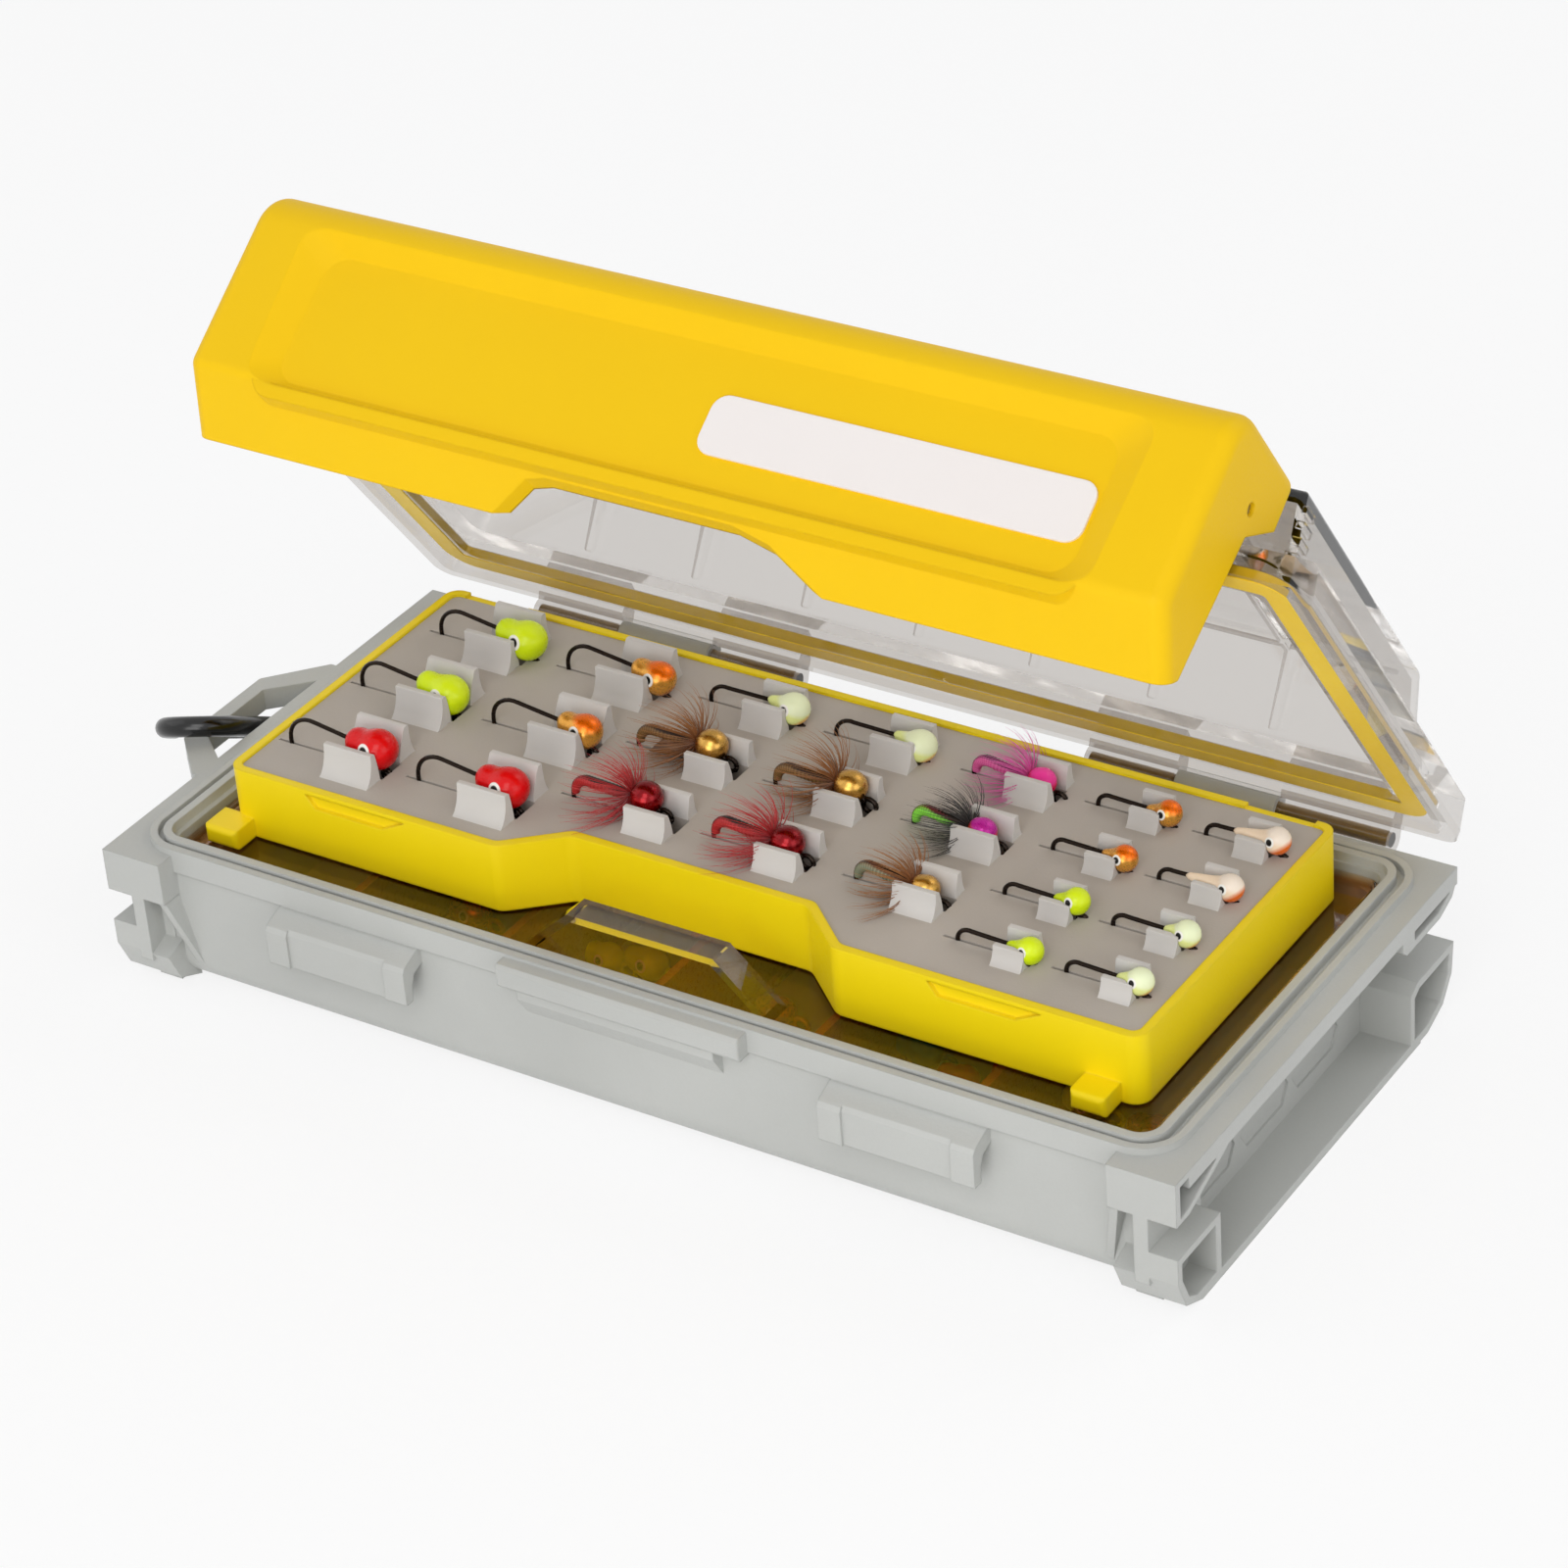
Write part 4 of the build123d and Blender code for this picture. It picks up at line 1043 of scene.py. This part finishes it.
def dished_latch():
    """The latch, with a long dish in its face that has sloping ends and rounded corners."""
    node = NODES["latch_cover"].data
    verts = [v.co / MM for v in node.vertices]
    faces = [tuple(p.vertices) for p in node.polygons]
    latch = piece("dished_latch", verts, faces, MATERIALS["latch"], "latch")
    dish = Shape()
    dish.extend(*loft_rings([dish_ring(DISH_MOUTH), dish_ring(DISH_FLOOR)]))
    cut_away(latch, dish)
    latch.data.shade_smooth()
    latch.data.set_sharp_from_angle(angle=math.radians(LATCH_CREASE))
    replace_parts(latch, "latch_cover")


def writing_strip():
    """The blank white strip that lies on the dish's floor."""
    rings = [face_ring(*STRIP_ENDS, *STRIP_EDGES, STRIP_CORNER, y)
             for y in (DISH_FLOOR - STRIP_PROUD, DISH_FLOOR + STRIP_LET_IN)]
    verts, faces = loft_rings(rings)
    strip = piece("writing_strip", verts, faces, MATERIALS["label"], "latch")
    strip.data.set_sharp_from_angle(angle=math.radians(STRIP_CREASE))
    rounded(strip, STRIP_EDGE)
    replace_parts(strip, "label_strip")


# The snap hook

# Its place in the side loop, and the directions across it, along it and out of its plane
SNAP_AT = Vector((-103.1, -5.0, 22.7))
SNAP_ACROSS = Vector((0.953, 0.139, 0.213)).normalized()
SNAP_ALONG = Vector((0, 0.869, -0.495)).normalized()
SNAP_NORMAL = SNAP_ACROSS.cross(SNAP_ALONG).normalized()
SNAP_UP = SNAP_NORMAL.cross(SNAP_ACROSS)

# The oval: its middle, the radius of its ends, half its straight sides and its bar's
# radius and rounded ends; then half the gap for the gate, the gate's lap at each end and
# its radii
SNAP_CENTRE = (-0.3, 1.0)
SNAP_ARC = 6.0
SNAP_HALF = 4.5
SNAP_BAR = 1.7
SNAP_EDGE = 0.5
ARC_STEPS = 16
GATE_HALF = 3.4
GATE_LAP = 1.2
GATE_RADII = [0.35, 0.7] + [1.15] * 9 + [0.7, 0.35]


def snap_point(across, along):
    """A point in the snap hook's own plane."""
    return SNAP_AT + SNAP_ACROSS * (SNAP_CENTRE[0] + across) + SNAP_UP * (SNAP_CENTRE[1] + along)


def snap_ring():
    """The oval bar, round in section, open on its outer side for the gate."""
    path = [snap_point(-SNAP_ARC, GATE_HALF)]
    for start, half in ((180, SNAP_HALF), (0, -SNAP_HALF)):
        for step in range(ARC_STEPS + 1):
            angle = math.radians(start - step * 180 / ARC_STEPS)
            path.append(snap_point(SNAP_ARC * math.cos(angle), half + SNAP_ARC * math.sin(angle)))
    path.append(snap_point(-SNAP_ARC, -GATE_HALF))
    verts, faces = loft_rings(tube_rings(path, [SNAP_BAR] * len(path), 20, SNAP_NORMAL))
    ring = piece("snap_ring", verts, faces, MATERIALS["enamel"], "snap")
    rounded(ring, SNAP_EDGE, 3, 60)
    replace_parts(ring, "snap_body")


def snap_tongue():
    """The sprung gate: a thinner round bar with a domed end, turning on its pin."""
    end = GATE_HALF + GATE_LAP
    last = len(GATE_RADII) - 1
    path = [snap_point(-SNAP_ARC, end - 2 * end * step / last) for step in range(last + 1)]
    verts, faces = loft_rings(tube_rings(path, GATE_RADII, 16, SNAP_NORMAL))
    tongue = piece("snap_tongue", verts, faces, MATERIALS["enamel"], "gate")
    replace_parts(tongue, "snap_gate")


# Finishes of the nodes that stay as they are

KEPT = {"base_tub": "tub", "bin_dividers": "divider", "hinge_pin_left": "bronze",
        "hinge_pin_right": "bronze", "lid_shell": "lid", "lid_gasket": "seal",
        "latch_pin_left": "steel", "latch_pin_right": "steel", "inner_door": "door",
        "tray_frame": "tray", "gate_pin": "steel"}


def finish_kept_nodes():
    """Give each kept CAD node its own material."""
    for node, finish in KEPT.items():
        slots = NODES[node].material_slots
        for slot in slots:
            slot.material = MATERIALS[finish]
        if not slots:
            NODES[node].data.materials.append(MATERIALS[finish])


# Camera, light and floor

CAMERA_AT = Vector((0.36220, -0.51664, 0.43727))
CAMERA_AIM = Vector((-0.48101, 0.69451, -0.53506))
CAMERA_ROLL = -4.589
FOCAL_LENGTH = 113.03
SENSOR_WIDTH = 36.0

# Studio lamps: name, place, the point it is aimed at, its width and its watts
LAMPS = (("key_lamp", (0.30, -0.85, 0.85), (0, 0, 0.05), 0.6, 3.1),
         ("front_lamp", (0.20, -1.15, 0.22), (0, 0, 0.03), 0.7, 4.2),
         ("side_lamp", (1.05, -0.35, 0.45), (0, 0, 0.03), 0.6, 1.3),
         ("fill_lamp", (-0.85, -0.35, 0.7), (0, 0, 0.05), 0.8, 0.9),
         ("rim_lamp", (0.5, 0.8, 0.8), (0, 0, 0.05), 0.6, 1.6))

# Strength of the surroundings' light, half the floor's width, and how white it is seen
SURROUND = 0.58
FLOOR_REACH = 1.6
FLOOR_WHITE = 0.8


def set_camera():
    """The photograph's view: from the right front, looking down, rolled a little."""
    data = bpy.data.cameras.new("camera")
    data.lens = FOCAL_LENGTH
    data.sensor_width = SENSOR_WIDTH
    data.clip_start = 0.05
    data.clip_end = 20
    camera = bpy.data.objects.new("camera", data)
    turn = CAMERA_AIM.to_track_quat("-Z", "Y").to_matrix().to_4x4()
    roll = Matrix.Rotation(math.radians(CAMERA_ROLL), 4, "Z")
    camera.matrix_world = Matrix.Translation(CAMERA_AT) @ turn @ roll
    bpy.context.scene.collection.objects.link(camera)
    bpy.context.scene.camera = camera


def soft_box(name, at, aim, size, watts):
    """One square studio lamp."""
    data = bpy.data.lights.new(name, "AREA")
    data.shape = "SQUARE"
    data.size = size
    data.energy = watts
    lamp = bpy.data.objects.new(name, data)
    turn = (Vector(aim) - Vector(at)).to_track_quat("-Z", "Y").to_matrix().to_4x4()
    lamp.matrix_world = Matrix.Translation(at) @ turn
    bpy.context.scene.collection.objects.link(lamp)


def seen_share(tree):
    """1 for rays that the eye, a mirror or glass sends, and 0 for light itself."""
    path = add(tree, "ShaderNodeLightPath").outputs
    return larger(tree, larger(tree, path["Is Camera Ray"], path["Is Glossy Ray"]),
                  path["Is Transmission Ray"])


def set_studio():
    """White surroundings, soft lamps and a pale floor that keeps the shadow."""
    world = bpy.data.worlds.new("studio")
    bpy.context.scene.world = world
    world.use_nodes = True
    tree = world.node_tree
    tree.nodes.clear()
    light = add(tree, "ShaderNodeBackground", inputs={
        "Color": colour("F7F8FA"), "Strength": SURROUND})
    seen = add(tree, "ShaderNodeBackground", inputs={"Color": colour("FFFFFF"), "Strength": 1.0})
    mix = add(tree, "ShaderNodeMixShader", inputs={
        0: seen_share(tree), 1: light.outputs[0], 2: seen.outputs[0]})
    add(tree, "ShaderNodeOutputWorld", inputs={"Surface": mix.outputs[0]})
    for lamp in LAMPS:
        soft_box(*lamp)
    corners = [(x * FLOOR_REACH, y * FLOOR_REACH, 0) for x, y in
               ((-1, -1), (1, -1), (1, 1), (-1, 1))]
    mesh = bpy.data.meshes.new("floor")
    mesh.from_pydata(corners, [], [(0, 1, 2, 3)])
    floor = bpy.data.objects.new("floor", mesh)
    bpy.context.scene.collection.objects.link(floor)
    material, tree = blank_material("white_paper_sweep")
    place = add(tree, "ShaderNodeTexCoord").outputs["Object"]
    tooth = noise(tree, place, 3.0)
    paper = blend_colours(tree, tooth, colour("F4F4F4"), colour("F8F8F8"))
    surface = add(tree, "ShaderNodeBsdfPrincipled", inputs={"Base Color": paper, "Roughness": 0.9})
    glow = add(tree, "ShaderNodeEmission", inputs={"Color": colour("FFFFFF"), "Strength": 1.0})
    share = add(tree, "ShaderNodeMath", {"operation": "MULTIPLY"},
                {0: seen_share(tree), 1: FLOOR_WHITE})
    mix = add(tree, "ShaderNodeMixShader", inputs={
        0: share.outputs[0], 1: surface.outputs[0], 2: glow.outputs[0]})
    add(tree, "ShaderNodeOutputMaterial", inputs={"Surface": mix.outputs[0]})
    mesh.materials.append(material)


def main():
    """Make every piece, the camera and the studio."""
    finish_kept_nodes()
    dished_latch()
    writing_strip()
    slit_pad()
    pad_lips()
    for finish in sorted({jig.finish for jig in JIGS}):
        heads_of(finish)
    for finish in sorted({spot[3] for spot in STORED_FRONT}):
        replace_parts(stored_heads("stored_front", STORED_FRONT, finish), "stored_jigs")
    for finish in sorted({spot[3] for spot in STORED_BACK}):
        stored_heads("stored_back", STORED_BACK, finish)
    hook_wires()
    dress_jigs()
    snap_ring()
    snap_tongue()
    set_camera()
    set_studio()
    bpy.context.scene.view_settings.view_transform = "Standard"


main()
